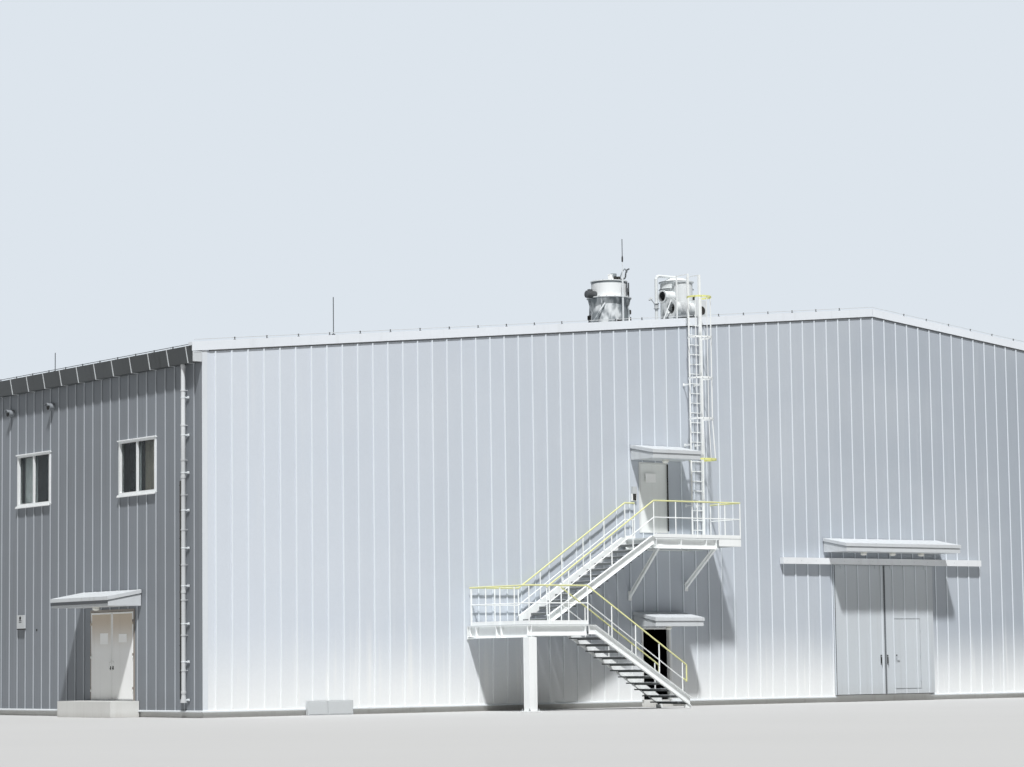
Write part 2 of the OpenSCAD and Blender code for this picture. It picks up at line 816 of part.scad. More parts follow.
module downpipe_right() {
    x = gutter_x + (gutter_w - gutter_lean) / 2;
    levels = floor((bracket_top - downpipe_z - downpipe_r) / bracket_pitch);
    shoe_h = 3 * downpipe_r;
    union() {
        translate([x, 0, downpipe_z]) cylinder(h = gutter_z - downpipe_z, r = downpipe_r);
        translate([x, 0, downpipe_z - shoe_h / 2])
            cylinder(h = shoe_h, r1 = downpipe_r + shoe_spread, r2 = downpipe_r);
        for (k = [0 : levels]) translate([0, 0, bracket_top - k * bracket_pitch]) {
            translate([x, 0, 0]) cylinder(h = bracket_h, r = downpipe_r + trim_t);
            box([half_w, -bracket_h / 2, trim_t], [x, bracket_h / 2, bracket_h - trim_t]);
        }
    }
}

module downpipes() {
    y0 = half_d - downpipe_inset;
    color("#8b9093") for (side = [0, 1], y = [-y0, -downpipe_mid, downpipe_mid, y0])
        mirror([side, 0, 0]) translate([0, y, 0]) downpipe_right();
}

module corner_trim() {
    translate([0, 0, base_h]) linear_extrude(eave_z - rake_down - base_h) polygon([
        [-half_w - trim_t, -half_d - trim_t], [-half_w + trim_w, -half_d - trim_t],
        [-half_w + trim_w, -half_d],
        [-half_w, -half_d], [-half_w, -half_d + trim_w], [-half_w - trim_t, -half_d + trim_w]]);
}

module corner_trims() {
    color("#dfe3e6") for (sx = [0, 1], sy = [0, 1]) mirror([sx, 0, 0]) mirror([0, sy, 0]) corner_trim();
}

module window_frame() {
    w = window_w / 2;
    hole_z = window_bar;
    hole_w = w - 1.5 * window_bar;
    difference() {
        union() {
            box([-w, -window_proud, 0], [w, wall_t, window_h]);
            box([-w - 14, -window_proud - 14, 0], [w + 14, 0, 10]);
            box([-w - 14, -window_proud - 8, window_h - 12], [w + 14, 0, window_h]);
        }
        for (side = [-1, 1]) {
            low = side < 0 ? -w + window_bar : window_bar / 2;
            box([low, -window_proud - 1, hole_z], [low + hole_w, wall_t + 1, window_h - window_bar]);
        }
    }
}

module at_windows() {
    for (x = window_lines) {
        on_left() translate([x, 0, window_z]) children();
        on_right() translate([x, 0, window_z]) children();
    }
}

module window_frames() { color("#eceeef") at_windows() window_frame(); }

module window_pane(low, y) {
    box([low, y, window_bar], [low + window_w / 2 - 1.5 * window_bar, y + glass_t, window_h - window_bar]);
}

module window_glass() {
    color("#39434a") at_windows() {
        window_pane(-window_w / 2 + window_bar, wall_t / 2);
        window_pane(window_bar / 2, wall_t / 4);
    }
}

// Door frame that stands in a wall opening, with or without a threshold bar
module door_frame(x0, x1, z0, z1, sill) {
    difference() {
        box([x0, -rib_h, z0], [x1, wall_t, z1]);
        box([x0 + door_bar, -rib_h - 1, z0 + sill], [x1 - door_bar, wall_t + 1, z1 - door_bar]);
    }
}

module door_frames() {
    color("#e6e8e8") {
        on_left() union() {
            door_frame(side_x0, side_x1, side_door_z, side_door_top, 20);
            for (z = side_hinges) {
                translate([side_pin_x1, side_pin_y, z]) frame_knuckle();
                translate([side_pin_x0, side_pin_y, z]) mirror([1, 0, 0]) frame_knuckle();
            }
        }
        on_front() {
            union() {
                door_frame(stair_x0, stair_x1, floor_z, lower_door_top, -1);
                for (z = lower_hinges) translate([lower_pin_x, lower_pin_y, z])
                    rotate([0, 0, 180]) frame_knuckle();
            }
            door_frame(stair_x0, stair_x1, upper_door_z, upper_door_top, 15);
        }
    }
}

// Hinge halves about a pin at the origin, for a leaf towards -x whose face lies pin_off behind
// the pin: the leaf's half has the bore, the frame's half has the pin
module leaf_knuckle() {
    difference() {
        union() {
            cylinder(h = knuckle_h, r = knuckle_r);
            box([-26, pin_off - 3, 0], [0, pin_off, knuckle_h]);
        }
        translate([0, 0, -1]) cylinder(h = knuckle_h + 2, r = pin_r + 0.5);
    }
}

module frame_knuckle() {
    translate([0, 0, knuckle_h + 1]) {
        cylinder(h = knuckle_h, r = knuckle_r);
        box([0, pin_off - 3, 0], [26, pin_off, knuckle_h]);
        translate([0, 0, -knuckle_h + 1]) cylinder(h = knuckle_h, r = pin_r);
    }
}

// Places of the hinges along a leaf
function hinge_levels(z0, z1) = [z0 + 110, (z0 + z1) / 2 - knuckle_h, z1 - 110 - 2 * knuckle_h];

// Pull handle on a face at y = 0, its foot at the origin
module pull(h) {
    for (z = [0, h - 8]) box([-5, -pull_off, z], [5, 1, z + 8]);
    box([-5, -pull_off - 6, 0], [5, -pull_off, h]);
}

// Lever handle on its plate, on a face at y = 0, pointing towards +x
module lever() {
    box([-10, -4, -50], [10, 1, 50]);
    translate([0, -3, 20]) rotate([90, 0, 0]) cylinder(h = 20, r = 5);
    box([-6, -28, 14], [52, -21, 26]);
}

side_leaf_x0 = side_x0 + door_bar + door_gap;
side_leaf_x1 = side_x1 - door_bar - door_gap;
side_leaf_z0 = side_door_z + 20 + door_gap;
side_leaf_z1 = side_door_top - door_bar - door_gap;
side_pin_x0 = side_leaf_x0 - door_gap / 2;
side_pin_x1 = side_leaf_x1 + door_gap / 2;
side_pin_y = -rib_h - pin_off;
side_hinges = hinge_levels(side_leaf_z0, side_leaf_z1);

module side_leaf(x0, x1) {
    box([x0, -rib_h, side_leaf_z0], [x1, -rib_h + door_t, side_leaf_z1]);
}

module side_leaf_front() {
    color("#eef0f0") on_left() union() {
        side_leaf(side_door_x + door_gap / 2, side_leaf_x1);
        for (z = side_hinges) translate([side_pin_x1, side_pin_y, z]) leaf_knuckle();
        translate([side_door_x + 36, -rib_h, side_pull_z]) pull(pull_h);
    }
}

module side_leaf_rear() {
    color("#eef0f0") on_left() union() {
        side_leaf(side_leaf_x0, side_door_x - door_gap / 2);
        for (z = side_hinges) translate([side_pin_x0, side_pin_y, z]) mirror([1, 0, 0]) leaf_knuckle();
        translate([side_door_x - 36, -rib_h, side_pull_z]) pull(pull_h);
    }
}

module side_step() {
    color("#c9c9c5") on_left() union() {
        box([side_x0, base_inset, base_h], [side_x1, wall_t, side_door_z]);
        box([side_x0 - step_side, -step_d, 0], [side_x1 + step_side, -rib_h, side_door_z + 16]);
        box([side_x0, -rib_h - 1, 0], [side_x1, base_inset, side_door_z]);
    }
}

// Canopy with a wedge body and a sloping cover that stands over a groove
module canopy(w) {
    fall = (canopy_back_h - canopy_front_h) / canopy_d;
    function body_z(y) = canopy_back_h + fall * y;
    cover_y = -canopy_d - canopy_lip;
    back = -rib_h;
    half = w / 2;
    union() {
        cross_plate([[back, 0], [-canopy_d, 0], [-canopy_d, canopy_front_h], [back, body_z(back)]],
            -half + canopy_lip, half - canopy_lip);
        cross_plate([[back, body_z(back) - 2], [-canopy_d + 12, body_z(-canopy_d + 12) - 2],
            [-canopy_d + 12, body_z(-canopy_d + 12) + canopy_groove + 2],
            [back, body_z(back) + canopy_groove + 2]], -half + 2 * canopy_lip, half - 2 * canopy_lip);
        cross_plate([[back, body_z(back) + canopy_groove], [cover_y, body_z(cover_y) + canopy_groove],
            [cover_y, body_z(cover_y) + canopy_groove + canopy_cover_t],
            [back, body_z(back) + canopy_groove + canopy_cover_t]], -half, half);
    }
}

stair_canopy_x = stair_door_x + stair_canopy_shift;

module canopies() {
    color("#dfe3e5") {
        on_front() {
            translate([gate_x, 0, gate_canopy_z]) canopy(gate_canopy_w);
            translate([stair_canopy_x, 0, lower_canopy_z]) canopy(stair_canopy_w);
            translate([stair_canopy_x, 0, upper_canopy_z]) canopy(stair_canopy_w);
        }
        on_left() translate([side_door_x, 0, side_canopy_z]) canopy(side_canopy_w);
    }
}

module lamp(x, z) {
    translate([x, -canopy_d / 2, z - lamp_h]) {
        translate([0, 0, lamp_h / 2]) cylinder(h = lamp_h / 2, r = lamp_r);
        cylinder(h = lamp_h / 2, r1 = lamp_r * 0.6, r2 = lamp_r);
    }
}

module canopy_lights() {
    color("#f6f6f2") {
        on_front() {
            for (k = [-1 : 1]) lamp(gate_x + k * gate_canopy_w / 4, gate_canopy_z);
            lamp(stair_canopy_x, lower_canopy_z);
            lamp(stair_canopy_x, upper_canopy_z);
        }
        on_left() lamp(side_door_x, side_canopy_z);
    }
}

track_half = 2 * gate_leaf_w + track_reach;
track_z = gate_leaf_top + door_gap;
ledge_z = track_z + 34;
ledge_t = 7;
hanger_y = gate_front + 2;
hanger_t = 7;
wheel_back = gate_back + 10;

module gate_track_cover() {
    front = rib_h + track_d;
    top = track_z + track_h;
    ledge_front = hanger_y - door_gap;
    color("#e4e7e9") on_front() translate([gate_x, 0, 0]) difference() {
        box([-track_half, -front, track_z], [track_half, -rib_h, top]);
        box([-track_half + trim_t, -front + trim_t, track_z - 1],
            [track_half - trim_t, -rib_h - trim_t, ledge_z]);
        box([-track_half + trim_t, -front + trim_t, ledge_z - 1],
            [track_half - trim_t, -ledge_front, top - trim_t]);
        box([-track_half + trim_t, -front + trim_t, ledge_z + ledge_t],
            [track_half - trim_t, -rib_h - trim_t, top - trim_t]);
    }
}

// Hanger with its wheel, which runs on the ledge inside the track cover
module hanger(x) {
    axle_z = ledge_z + ledge_t + wheel_r + wheel_gap;
    left = x - hanger_w / 2;
    right = x + hanger_w / 2;
    foot_z = gate_leaf_top - hanger_w;
    box([left, -hanger_y - hanger_t, foot_z], [right, -hanger_y, axle_z + hanger_t]);
    box([left, -hanger_y - 1, foot_z], [right, -gate_front + 1, gate_leaf_top]);
    translate([x, -wheel_back, axle_z]) rotate([90, 0, 0])
        cylinder(h = hanger_y - wheel_back + 1, r = wheel_r);
}

// Ribbed leaf of the gate between two ends
module leaf_panel(x0, x1, z0, z1) {
    translate([0, -gate_front, z0]) linear_extrude(z1 - z0)
        polygon(panel_outline(x0, x1, gate_leaf_t, rib_pitch, rib_h));
}

module gate_leaf_left() {
    x0 = gate_x - gate_leaf_w;
    x1 = gate_x - leaf_gap / 2;
    color("#c9cfd4") on_front() union() {
        leaf_panel(x0, x1, gate_leaf_z, gate_leaf_top);
        for (x = [x0 + hanger_inset, x1 - hanger_inset]) hanger(x);
        translate([gate_x - 100, -gate_front, gate_pull_z]) pull(pull_h);
    }
}

wicket_x0 = gate_x + wicket_x - wicket_w / 2;
wicket_x1 = gate_x + wicket_x + wicket_w / 2;
wicket_pin_x = wicket_x1 + leaf_gap / 2;
wicket_pin_y = -gate_front - pin_off;
wicket_hinges = hinge_levels(wicket_z, wicket_top);

module gate_leaf_right() {
    x0 = gate_x + leaf_gap / 2;
    x1 = gate_x + gate_leaf_w;
    color("#c9cfd4") on_front() union() {
        difference() {
            leaf_panel(x0, x1, gate_leaf_z, gate_leaf_top);
            box([wicket_x0 - leaf_gap, -gate_front - rib_h - 1, wicket_z - leaf_gap],
                [wicket_x1 + leaf_gap, -gate_back + 1, wicket_top + leaf_gap]);
        }
        for (x = [x0 + hanger_inset, x1 - hanger_inset]) hanger(x);
        for (z = wicket_hinges) translate([wicket_pin_x, wicket_pin_y, z]) frame_knuckle();
        translate([gate_x + 40, -gate_front, gate_pull_z]) pull(pull_h);
    }
}

module wicket_leaf() {
    color("#cdd3d8") on_front() union() {
        leaf_panel(wicket_x0, wicket_x1, wicket_z, wicket_top);
        for (z = wicket_hinges) translate([wicket_pin_x, wicket_pin_y, z]) leaf_knuckle();
        translate([wicket_x0 + 30, -gate_front, gate_pull_z + 70]) lever();
    }
}

lower_leaf_w = stair_door_w - 2 * door_bar - 2 * door_gap;
lower_leaf_z0 = floor_z + door_gap;
lower_leaf_z1 = lower_door_top - door_bar - door_gap;
// Pin of the lower stair door, in the gap at its left edge and inside the wall
lower_pin_x = stair_x0 + door_bar + door_gap / 2;
lower_pin_y = wall_t + pin_off;
lower_hinges = hinge_levels(lower_leaf_z0, lower_leaf_z1);

// Leaf of the lower stair door about its pin, drawn shut, with the wall's inside towards +y
module lower_leaf_shut() {
    x0 = door_gap / 2;
    union() {
        box([x0, -pin_off - door_t, lower_leaf_z0], [x0 + lower_leaf_w, -pin_off, lower_leaf_z1]);
        for (z = lower_hinges) translate([0, 0, z]) rotate([0, 0, 180]) leaf_knuckle();
        translate([x0 + lower_leaf_w - 30, -pin_off - door_t, lower_leaf_z0 + 480]) mirror([1, 0, 0]) lever();
        translate([x0 + lower_leaf_w - 30, -pin_off, lower_leaf_z0 + 480]) rotate([0, 0, 180]) lever();
    }
}

module lower_door_leaf() {
    color("#b9bab2") on_front() translate([lower_pin_x, lower_pin_y, 0]) rotate([0, 0, 90]) lower_leaf_shut();
}

module upper_door_leaf() {
    z0 = upper_door_z + 15;
    color("#b9bab2") on_front() union() {
        box([stair_x0 + door_bar, 0, z0], [stair_x1 - door_bar, door_t, upper_door_top - door_bar]);
        translate([stair_x1 - door_bar - 30, 0, z0 + 480]) mirror([1, 0, 0]) lever();
        translate([stair_x1 - door_bar - 30, door_t, z0 + 480]) rotate([0, 0, 180]) lever();
    }
}

// I beam along y, standing on its lower flange, with its middle at x
module beam_y(x, y0, y1, z0, z1, w) {
    translate([x, y1, (z0 + z1) / 2]) rotate([90, 0, 0]) linear_extrude(y1 - y0)
        polygon(i_outline(w, z1 - z0, plate_t, plate_t));
}

// I beam along x with its middle at y
module beam_x(y, x0, x1, z0, z1, w) {
    translate([x0, y, (z0 + z1) / 2]) rotate([90, 0, 90]) linear_extrude(x1 - x0)
        polygon(i_outline(w, z1 - z0, plate_t, plate_t));
}

module half_landing() {
    top = landing_z - deck_t;
    low = top - landing_beam_h;
    y_in = -half_d - rib_h;
    y_out = -half_d - landing_d;
    w = landing_beam_w;
    union() {
        box([landing_x, y_out, top], [landing_x2, y_in, landing_z]);
        beam_y(landing_x + w / 2, y_out, y_in, low, top, w);
        beam_y(landing_x2 - w / 2, y_out, y_in, low + 20, top, w);
        beam_x(y_out + w / 2, landing_x, landing_x2, low + 20, top, w);
        beam_x(y_in - w / 2, landing_x, landing_x2, low + 20, top, w);
        box([landing_x - 10, y_in - plate_t, low - 10], [landing_x + w + 10, y_in, top]);
    }
}

// Right end of the top landing's deep beams, past the ladder's left stile
main_beam_x2 = ladder_x - ladder_w / 2 + 20;

module top_landing() {
    top = top_landing_z - deck_t;
    low = top - top_beam_h;
    y_in = -half_d - rib_h;
    y_out = -half_d - top_landing_d;
    w = landing_beam_w;
    union() {
        box([top_landing_x, y_out, top], [top_landing_x2, y_in, top_landing_z]);
        beam_x(y_out + w / 2, top_landing_x, main_beam_x2, low, top, w);
        beam_x(y_in - w / 2, top_landing_x, main_beam_x2, low, top, w);
        beam_y(top_landing_x + w / 2, y_out, y_in, low, top, w);
        beam_y(main_beam_x2 - w / 2, y_out, y_in, low, top, w);
        box([main_beam_x2 - 1, y_out, low + 45], [top_landing_x2, y_out + plate_t, top + 1]);
        box([top_landing_x2 - plate_t, y_out, low + 45], [top_landing_x2, y_in, top + 1]);
        box([main_beam_x2 - 1, y_in - plate_t, low + 45], [top_landing_x2, y_in, top + 1]);
    }
}

module stair_landings() {
    color("#eef0f0") {
        half_landing();
        top_landing();
    }
}

module landing_post() {
    low = landing_z - deck_t - landing_beam_h;
    x = landing_x + landing_beam_w / 2;
    y = -half_d - landing_d + landing_beam_w / 2;
    foot = post_w * 0.8;
    union() {
        translate([x, y, 0]) linear_extrude(low) polygon(i_outline(post_w, post_w, plate_t + 2, plate_t));
        box([x - foot, y - foot, 0], [x + foot, y + foot, 12]);
        box([x - post_w / 2, y - post_w / 2, low - 10], [x + post_w / 2, y + post_w / 2, low]);
    }
}

// Slanted brace from the wall to the top landing's outer beam, in a plane across the wall
module landing_brace(x, foot_z) {
    top = top_landing_z - deck_t - top_beam_h;
    y_wall = -half_d - rib_h;
    y_out = -half_d - top_landing_d + landing_beam_w / 2;
    rise = 0.6 * (top - foot_z) / 10;
    union() {
        cross_plate([[y_wall, foot_z + rise], [y_wall, foot_z - rise], [y_out - 20, top], [y_out + 20, top]],
            x - brace_w / 2, x + brace_w / 2);
        box([x - 30, y_wall - plate_t, foot_z - 70], [x + 30, y_wall, foot_z + 70]);
    }
}

module stair_supports() {
    color("#f0f1f1") {
        landing_post();
        landing_brace(top_landing_x + 110, brace_z);
        landing_brace(main_beam_x2 - landing_beam_w / 2, brace_z + 140);
    }
}

// Channel that follows points of its top edge, with flanges towards one side
module stringer(points, y, side) {
    function lowered(d) = [for (i = [len(points) - 1 : -1 : 0]) points[i] - [0, d]];
    function band(a, b) = concat([for (p = points) p - [0, a]], lowered(b));
    w0 = side > 0 ? y : y - stringer_w;
    union() {
        standing_plate(band(0, stringer_h), y - plate_t / 2, y + plate_t / 2);
        standing_plate(band(0, plate_t), w0, w0 + stringer_w);
        standing_plate(band(stringer_h - plate_t, stringer_h), w0, w0 + stringer_w);
    }
}

lower_y0 = -half_d - lower_lane;
lower_y1 = -half_d - landing_d;
upper_y0 = -half_d - upper_lane;
upper_y1 = -half_d - top_landing_d;

// Top edges of the stringers, as [x, z] points
lower_path = [[landing_x2, landing_z - deck_t], [landing_x2 + going * 0.7, landing_z - deck_t],
    [landing_x2 + going * (lower_risers - 0.6), stringer_h + 24]];
upper_path = [[upper_foot_x - going * 0.5, landing_z + stringer_h],
    [top_landing_x - going * 0.4, top_landing_z + 20], [top_landing_x, top_landing_z + 20]];

module stair_stringers() {
    foot_x = lower_path[2][0];
    color("#eef0f0") {
        for (p = [[lower_y0, 1], [lower_y1, -1]]) union() {
            stringer(lower_path, p[0], p[1]);
            box([foot_x - 90, p[0] - 20, 0], [foot_x, p[0] + 20, lower_rise - tread_t - tread_lip - 5]);
        }
        for (p = [[upper_y0, 1], [upper_y1, -1]]) stringer(upper_path, p[0], p[1]);
    }
}

tread_lip = 18;

module tread(x0, x1, y0, y1, z) {
    union() {
        box([x0, y0, z - tread_t], [x1, y1, z]);
        box([x0, y0, z - tread_t - tread_lip], [x0 + 8, y1, z - tread_t + 1]);
    }
}

module stair_treads() {
    color("#dfe2e2") {
        for (k = [1 : lower_risers - 1]) {
            x = landing_x2 + going * (k - 1);
            lap = k == 1 ? 0 : tread_lap;
            translate([2 * x + going, 0, 0]) mirror([1, 0, 0])
                tread(x, x + going + lap, lower_y1 + plate_t / 2, lower_y0 - plate_t / 2,
                    landing_z - k * lower_rise);
        }
        for (k = [1 : upper_risers - 1]) {
            x = upper_foot_x + going * (k - 1);
            lap = k == upper_risers - 1 ? 0 : tread_lap;
            tread(x, x + going + lap, upper_y1 + plate_t / 2, upper_y0 - plate_t / 2,
                landing_z + k * upper_rise);
        }
    }
}

// Planes of the railings
rail_in = 12;
toe_t = 6;
wall_side_y = -half_d - upper_lane;
outer_y = -half_d - landing_d + rail_in;
inner_y = lower_y0;
mid_y = upper_y1;
left_x = landing_x + rail_in;
right_x = top_landing_x2 - rail_in;

// Height of a stair nose line over the ground at a place across the front
lower_foot_x = landing_x2 + going * (lower_risers - 1.4);
function lower_nose(x) = landing_z - (x - landing_x2) * lower_rise / going;

// Points of the walking line under each rail, with bends where the rails bend
run_wall = [[left_x, wall_side_y, landing_z], [upper_foot_x - going / 2, wall_side_y, landing_z],
    [top_landing_x, wall_side_y, top_landing_z], [stair_x0 - 140, wall_side_y, top_landing_z]];
run_end = [[left_x, wall_side_y - 40, landing_z], [left_x, outer_y, landing_z]];
run_front = [[left_x, outer_y, landing_z], [landing_x2, outer_y, landing_z],
    [lower_foot_x, outer_y, lower_nose(lower_foot_x)]];
run_inner = [[landing_x2 + rail_in, inner_y, lower_nose(landing_x2 + rail_in)],
    [lower_foot_x, inner_y, lower_nose(lower_foot_x)]];
run_upper = [[upper_foot_x - going / 2, mid_y, landing_z], [top_landing_x, mid_y, top_landing_z],
    [right_x, mid_y, top_landing_z]];
run_right = [[right_x, mid_y, top_landing_z], [right_x, wall_side_y, top_landing_z]];

// Heights that the railing posts stand on, as [x, z] points
lower_feet = concat([[landing_x2 - 1, landing_z]], lower_path);
upper_feet = [[upper_path[0][0] - 1, landing_z], upper_path[0], upper_path[1], upper_path[2],
    [upper_path[2][0] + 1, top_landing_z]];

function raised(run, h) = [for (p = run) p + [0, 0, h]];
function level_way(a, b) = norm([b[0] - a[0], b[1] - a[1]]);
function slope_of(a, b) = abs(b[2] - a[2]) / level_way(a, b);

// Posts of one straight stretch, each from what it stands on to the underside of the handrail
module railing_posts(a, b, feet, first, next_slope) {
    count = max(1, ceil(level_way(a, b) / post_gap));
    for (k = [first : count]) {
        p = a + (b - a) * k / count;
        foot = max(lookup(p[0] - post_r, feet), lookup(p[0] + post_r, feet)) + purlin_play;
        steep = max(slope_of(a, b), k == count ? next_slope : 0);
        top = p[2] + rail_h - rail_r * sqrt(1 + steep * steep) - post_r * steep;
        translate([p[0], p[1], foot]) cylinder(h = top - foot, r = post_r, $fn = tube_fn);
    }
}

// Board between two points on a level, ending just short of each
module toe_board(a, b) {
    run = b - a;
    translate((a + b) / 2 + [0, 0, toe_h / 2]) rotate([0, 0, atan2(run[1], run[0])])
        cube([norm(run) - 2 * purlin_play, toe_t, toe_h], center = true);
}

// Posts, middle rail and toe boards along a run
module railing(run, feet, first = 0) {
    union() {
        for (i = [0 : len(run) - 2]) {
            bend = i < len(run) - 2 ? slope_of(run[i + 1], run[i + 2]) : 0;
            railing_posts(run[i], run[i + 1], feet, i == 0 ? first : 1, bend);
            if (run[i][2] == run[i + 1][2]) toe_board(run[i], run[i + 1]);
        }
        tube_run(raised(run, rail_mid_h), post_r - 1);
    }
}

// Moves the start of a run away from a corner post that belongs to another run
function held_off(run, by) = concat([run[0] + by], [for (i = [1 : len(run) - 1]) run[i]]);

module stair_railings() {
    gap = post_r + 6;
    color("#f2f3f3") {
        railing(held_off(run_wall, [gap, 0, 0]), upper_feet);
        railing(run_end, lower_feet);
        railing(held_off(run_front, [gap, 0, 0]), lower_feet, 1);
        railing(run_inner, lower_feet);
        railing(run_upper, upper_feet);
        railing(held_off(run_right, [0, gap, 0]), upper_feet, 1);
    }
}

module stair_handrails() {
    top = rail_h;
    color("#d9dd6a") {
        tube_run(raised(run_wall, top), rail_r);
        tube_run(raised(concat(run_upper, [run_right[1]]), top), rail_r);
        for (run = [concat([run_end[0]], run_front), run_inner]) {
            foot = run[len(run) - 1];
            tube_run(concat(raised(run, top), [foot + [75, 0, top - 50], foot + [75, 0, rail_mid_h - 40],
                foot + [post_r + rail_r, 0, rail_mid_h]]), rail_r);
        }
    }
}

ladder_y = -half_d - ladder_off;
stile_t = 10;
ladder_top = roof_under(ladder_x) + rake_up + ladder_over;

module ladder() {
    rungs = floor((roof_under(ladder_x) + rake_up - top_landing_z) / rung_pitch);
    bracket_base = top_landing_z + ladder_bracket_z;
    brackets = [for (z = [bracket_base : ladder_bracket_pitch : roof_under(ladder_x) - toe_h]) z];
    x0 = ladder_x - ladder_w / 2;
    x1 = ladder_x + ladder_w / 2;
    over_y = -half_d + rake_back + 20;
    color("#f0f1f1") union() {
        for (x = [x0, x1]) {
            box([x - stile_t / 2, ladder_y - 14, top_landing_z],
                [x + stile_t / 2, ladder_y + 14, ladder_top]);
            for (z = brackets) box([x - 4, ladder_y, z], [x + 4, -half_d, z + 24]);
        }
        for (k = [1 : rungs]) translate([x0, ladder_y, top_landing_z + k * rung_pitch])
            rotate([0, 90, 0]) cylinder(h = ladder_w, r = 7, $fn = tube_fn);
        for (x = [x0, x1]) {
            box([x - stile_t / 2, ladder_y - 14, ladder_top - 12],
                [x + stile_t / 2, over_y + 24, ladder_top]);
            box([x - stile_t / 2, over_y, roof_top(x + stile_t / 2)],
                [x + stile_t / 2, over_y + 24, ladder_top]);
        }
    }
}

hoop_off = 125;
hoop_y = ladder_y - hoop_off;
bar_r = 6;

module hoop(z, r) {
    translate([ladder_x, hoop_y, z]) difference() {
        cylinder(h = hoop_h, r = r + hoop_t);
        translate([0, 0, -1]) cylinder(h = hoop_h + 2, r = r);
        box([-r * 2, hoop_off, -1], [r * 2, r * 2, hoop_h + 1]);
    }
}

cage_angles = [-150, -120, -90, -60, -30];

module ladder_cage() {
    top_hoop = cage_z + hoop_pitch * (hoops - 1);
    color("#f2f3f0") {
        for (k = [0 : hoops - 1]) union() {
            r = k == 0 ? cage_r + cage_flare : cage_r;
            x = sqrt((r + hoop_t / 2) * (r + hoop_t / 2) - hoop_off * hoop_off);
            hoop(cage_z + k * hoop_pitch, r);
            for (side = [0, 1]) translate([ladder_x, ladder_y, cage_z + k * hoop_pitch]) mirror([side, 0, 0])
                box([ladder_w / 2 + stile_t / 2, -10, 0], [x, 2, hoop_h]);
        }
        for (a = cage_angles) {
            way = [cos(a), sin(a), 0];
            axis = [ladder_x, hoop_y, cage_z + hoop_h / 2];
            knee = axis + way * (cage_r - bar_r - purlin_play);
            tube_run([knee + way * cage_flare, knee + [0, 0, hoop_pitch - hoop_h],
                knee + [0, 0, top_hoop - cage_z]], bar_r);
        }
    }
}

// Block whose bottom lies on the sloping roof and whose top is level
module roof_kerb(x, y, w, d, top) {
    standing_plate([[x - w / 2, roof_top(x - w / 2)], [x + w / 2, roof_top(x + w / 2)], [x + w / 2, top],
        [x - w / 2, top]], y - d / 2, y + d / 2);
}

equipment_y = -half_d + vessel_y;
gusset_in = vessel_r - 2 * ring_t;
head_r = lid_r - ring_t;
lid_z = vessel_h + ring_t + head_h - 2;
vessel_z = roof_top(vessel_x) + kerb_h;

module filter_vessel() {
    color("#8f9698") union() {
        roof_kerb(vessel_x, equipment_y, kerb_w, kerb_w, vessel_z + 1);
        translate([vessel_x, equipment_y, vessel_z]) {
            cylinder(h = vessel_h, r = vessel_r);
            for (a = [0 : 60 : 300]) rotate([0, 0, a]) cross_plate([[gusset_in, vessel_h + 1],
                [ring_r - ring_t, vessel_h + 1], [vessel_r, vessel_h - gusset_h],
                [gusset_in, vessel_h - gusset_h]], -ring_t / 2, ring_t / 2);
            translate([0, 0, vessel_h]) cylinder(h = ring_t, r = ring_r);
            translate([0, 0, vessel_h + ring_t - 1]) cylinder(h = head_h, r = head_r);
            translate([0, 0, lid_z]) cylinder(h = ring_t, r = lid_r);
            translate([0, 0, lid_z + ring_t - 1]) cylinder(h = motor_r / 2, r1 = head_r, r2 = 2 * motor_r);
            translate([2 * motor_r, 0, lid_z]) cylinder(h = 3 * motor_r, r = motor_r);
            tube_run([[head_r - motor_r, 0, lid_z], [head_r - motor_r, 0, lid_z + 2 * motor_r],
                [head_r, 0, lid_z + 4 * motor_r], [head_r + motor_r, 0, lid_z + 5 * motor_r],
                [head_r + 2 * motor_r, 0, lid_z + 4 * motor_r]], goose_r);
            translate([-ring_r - 2 * motor_r, 0, vessel_h + motor_r]) rotate([0, 90, 0])
                cylinder(h = ring_r - head_r + 3 * motor_r, r = motor_r);
        }
    }
}

drum_z = roof_top(drum_x) + kerb_h;

// Fan duct along x with bellows, its axis at the origin and its open mouth at -x
module bellows_duct() {
    folds = 8;
    pitch = duct_long * 0.5 / folds;
    core_r = duct_r - ring_t;
    difference() {
        union() {
            rotate([0, 90, 0]) cylinder(h = duct_long, r = core_r);
            for (k = [0 : folds - 1]) translate([duct_long * 0.3 + k * pitch, 0, 0]) rotate([0, 90, 0])
                cylinder(h = pitch / 2, r = duct_r);
            rotate([0, 90, 0]) cylinder(h = ring_t, r = duct_flange_r);
        }
        translate([-1, 0, 0]) rotate([0, 90, 0]) cylinder(h = duct_r, r = core_r - ring_t);
    }
}

// Open branch along x from the drum's side, its axis at the origin and its mouth at -x
module branch(long) {
    difference() {
        union() {
            rotate([0, 90, 0]) cylinder(h = long, r = branch_r);
            rotate([0, 90, 0]) cylinder(h = ring_t, r = branch_r + ring_t);
        }
        translate([-1, 0, 0]) rotate([0, 90, 0]) cylinder(h = branch_r, r = branch_r - ring_t);
    }
}

module vent_bend(x0, foot) {
    top = foot + vent_h;
    right = x0 + vent_span;
    bend = 2.5 * vent_r;
    in = bend * 0.3;
    tube_run([[x0, equipment_y, foot + vent_r], [x0, equipment_y, top - bend],
        [x0 + in, equipment_y, top - in], [x0 + bend, equipment_y, top],
        [right - bend, equipment_y, top], [right - in, equipment_y, top - in],
        [right, equipment_y, top - bend], [right, equipment_y, drum_z + drum_h]], vent_r);
    roof_kerb(x0, equipment_y, 4 * vent_r, 4 * vent_r, roof_top(x0) + vent_r + 1);
}

// Box on the roof between two heights over it, under something at a place
module duct_foot(x, y, w, top) {
    roof_kerb(x, y, w, duct_post_w, top);
}

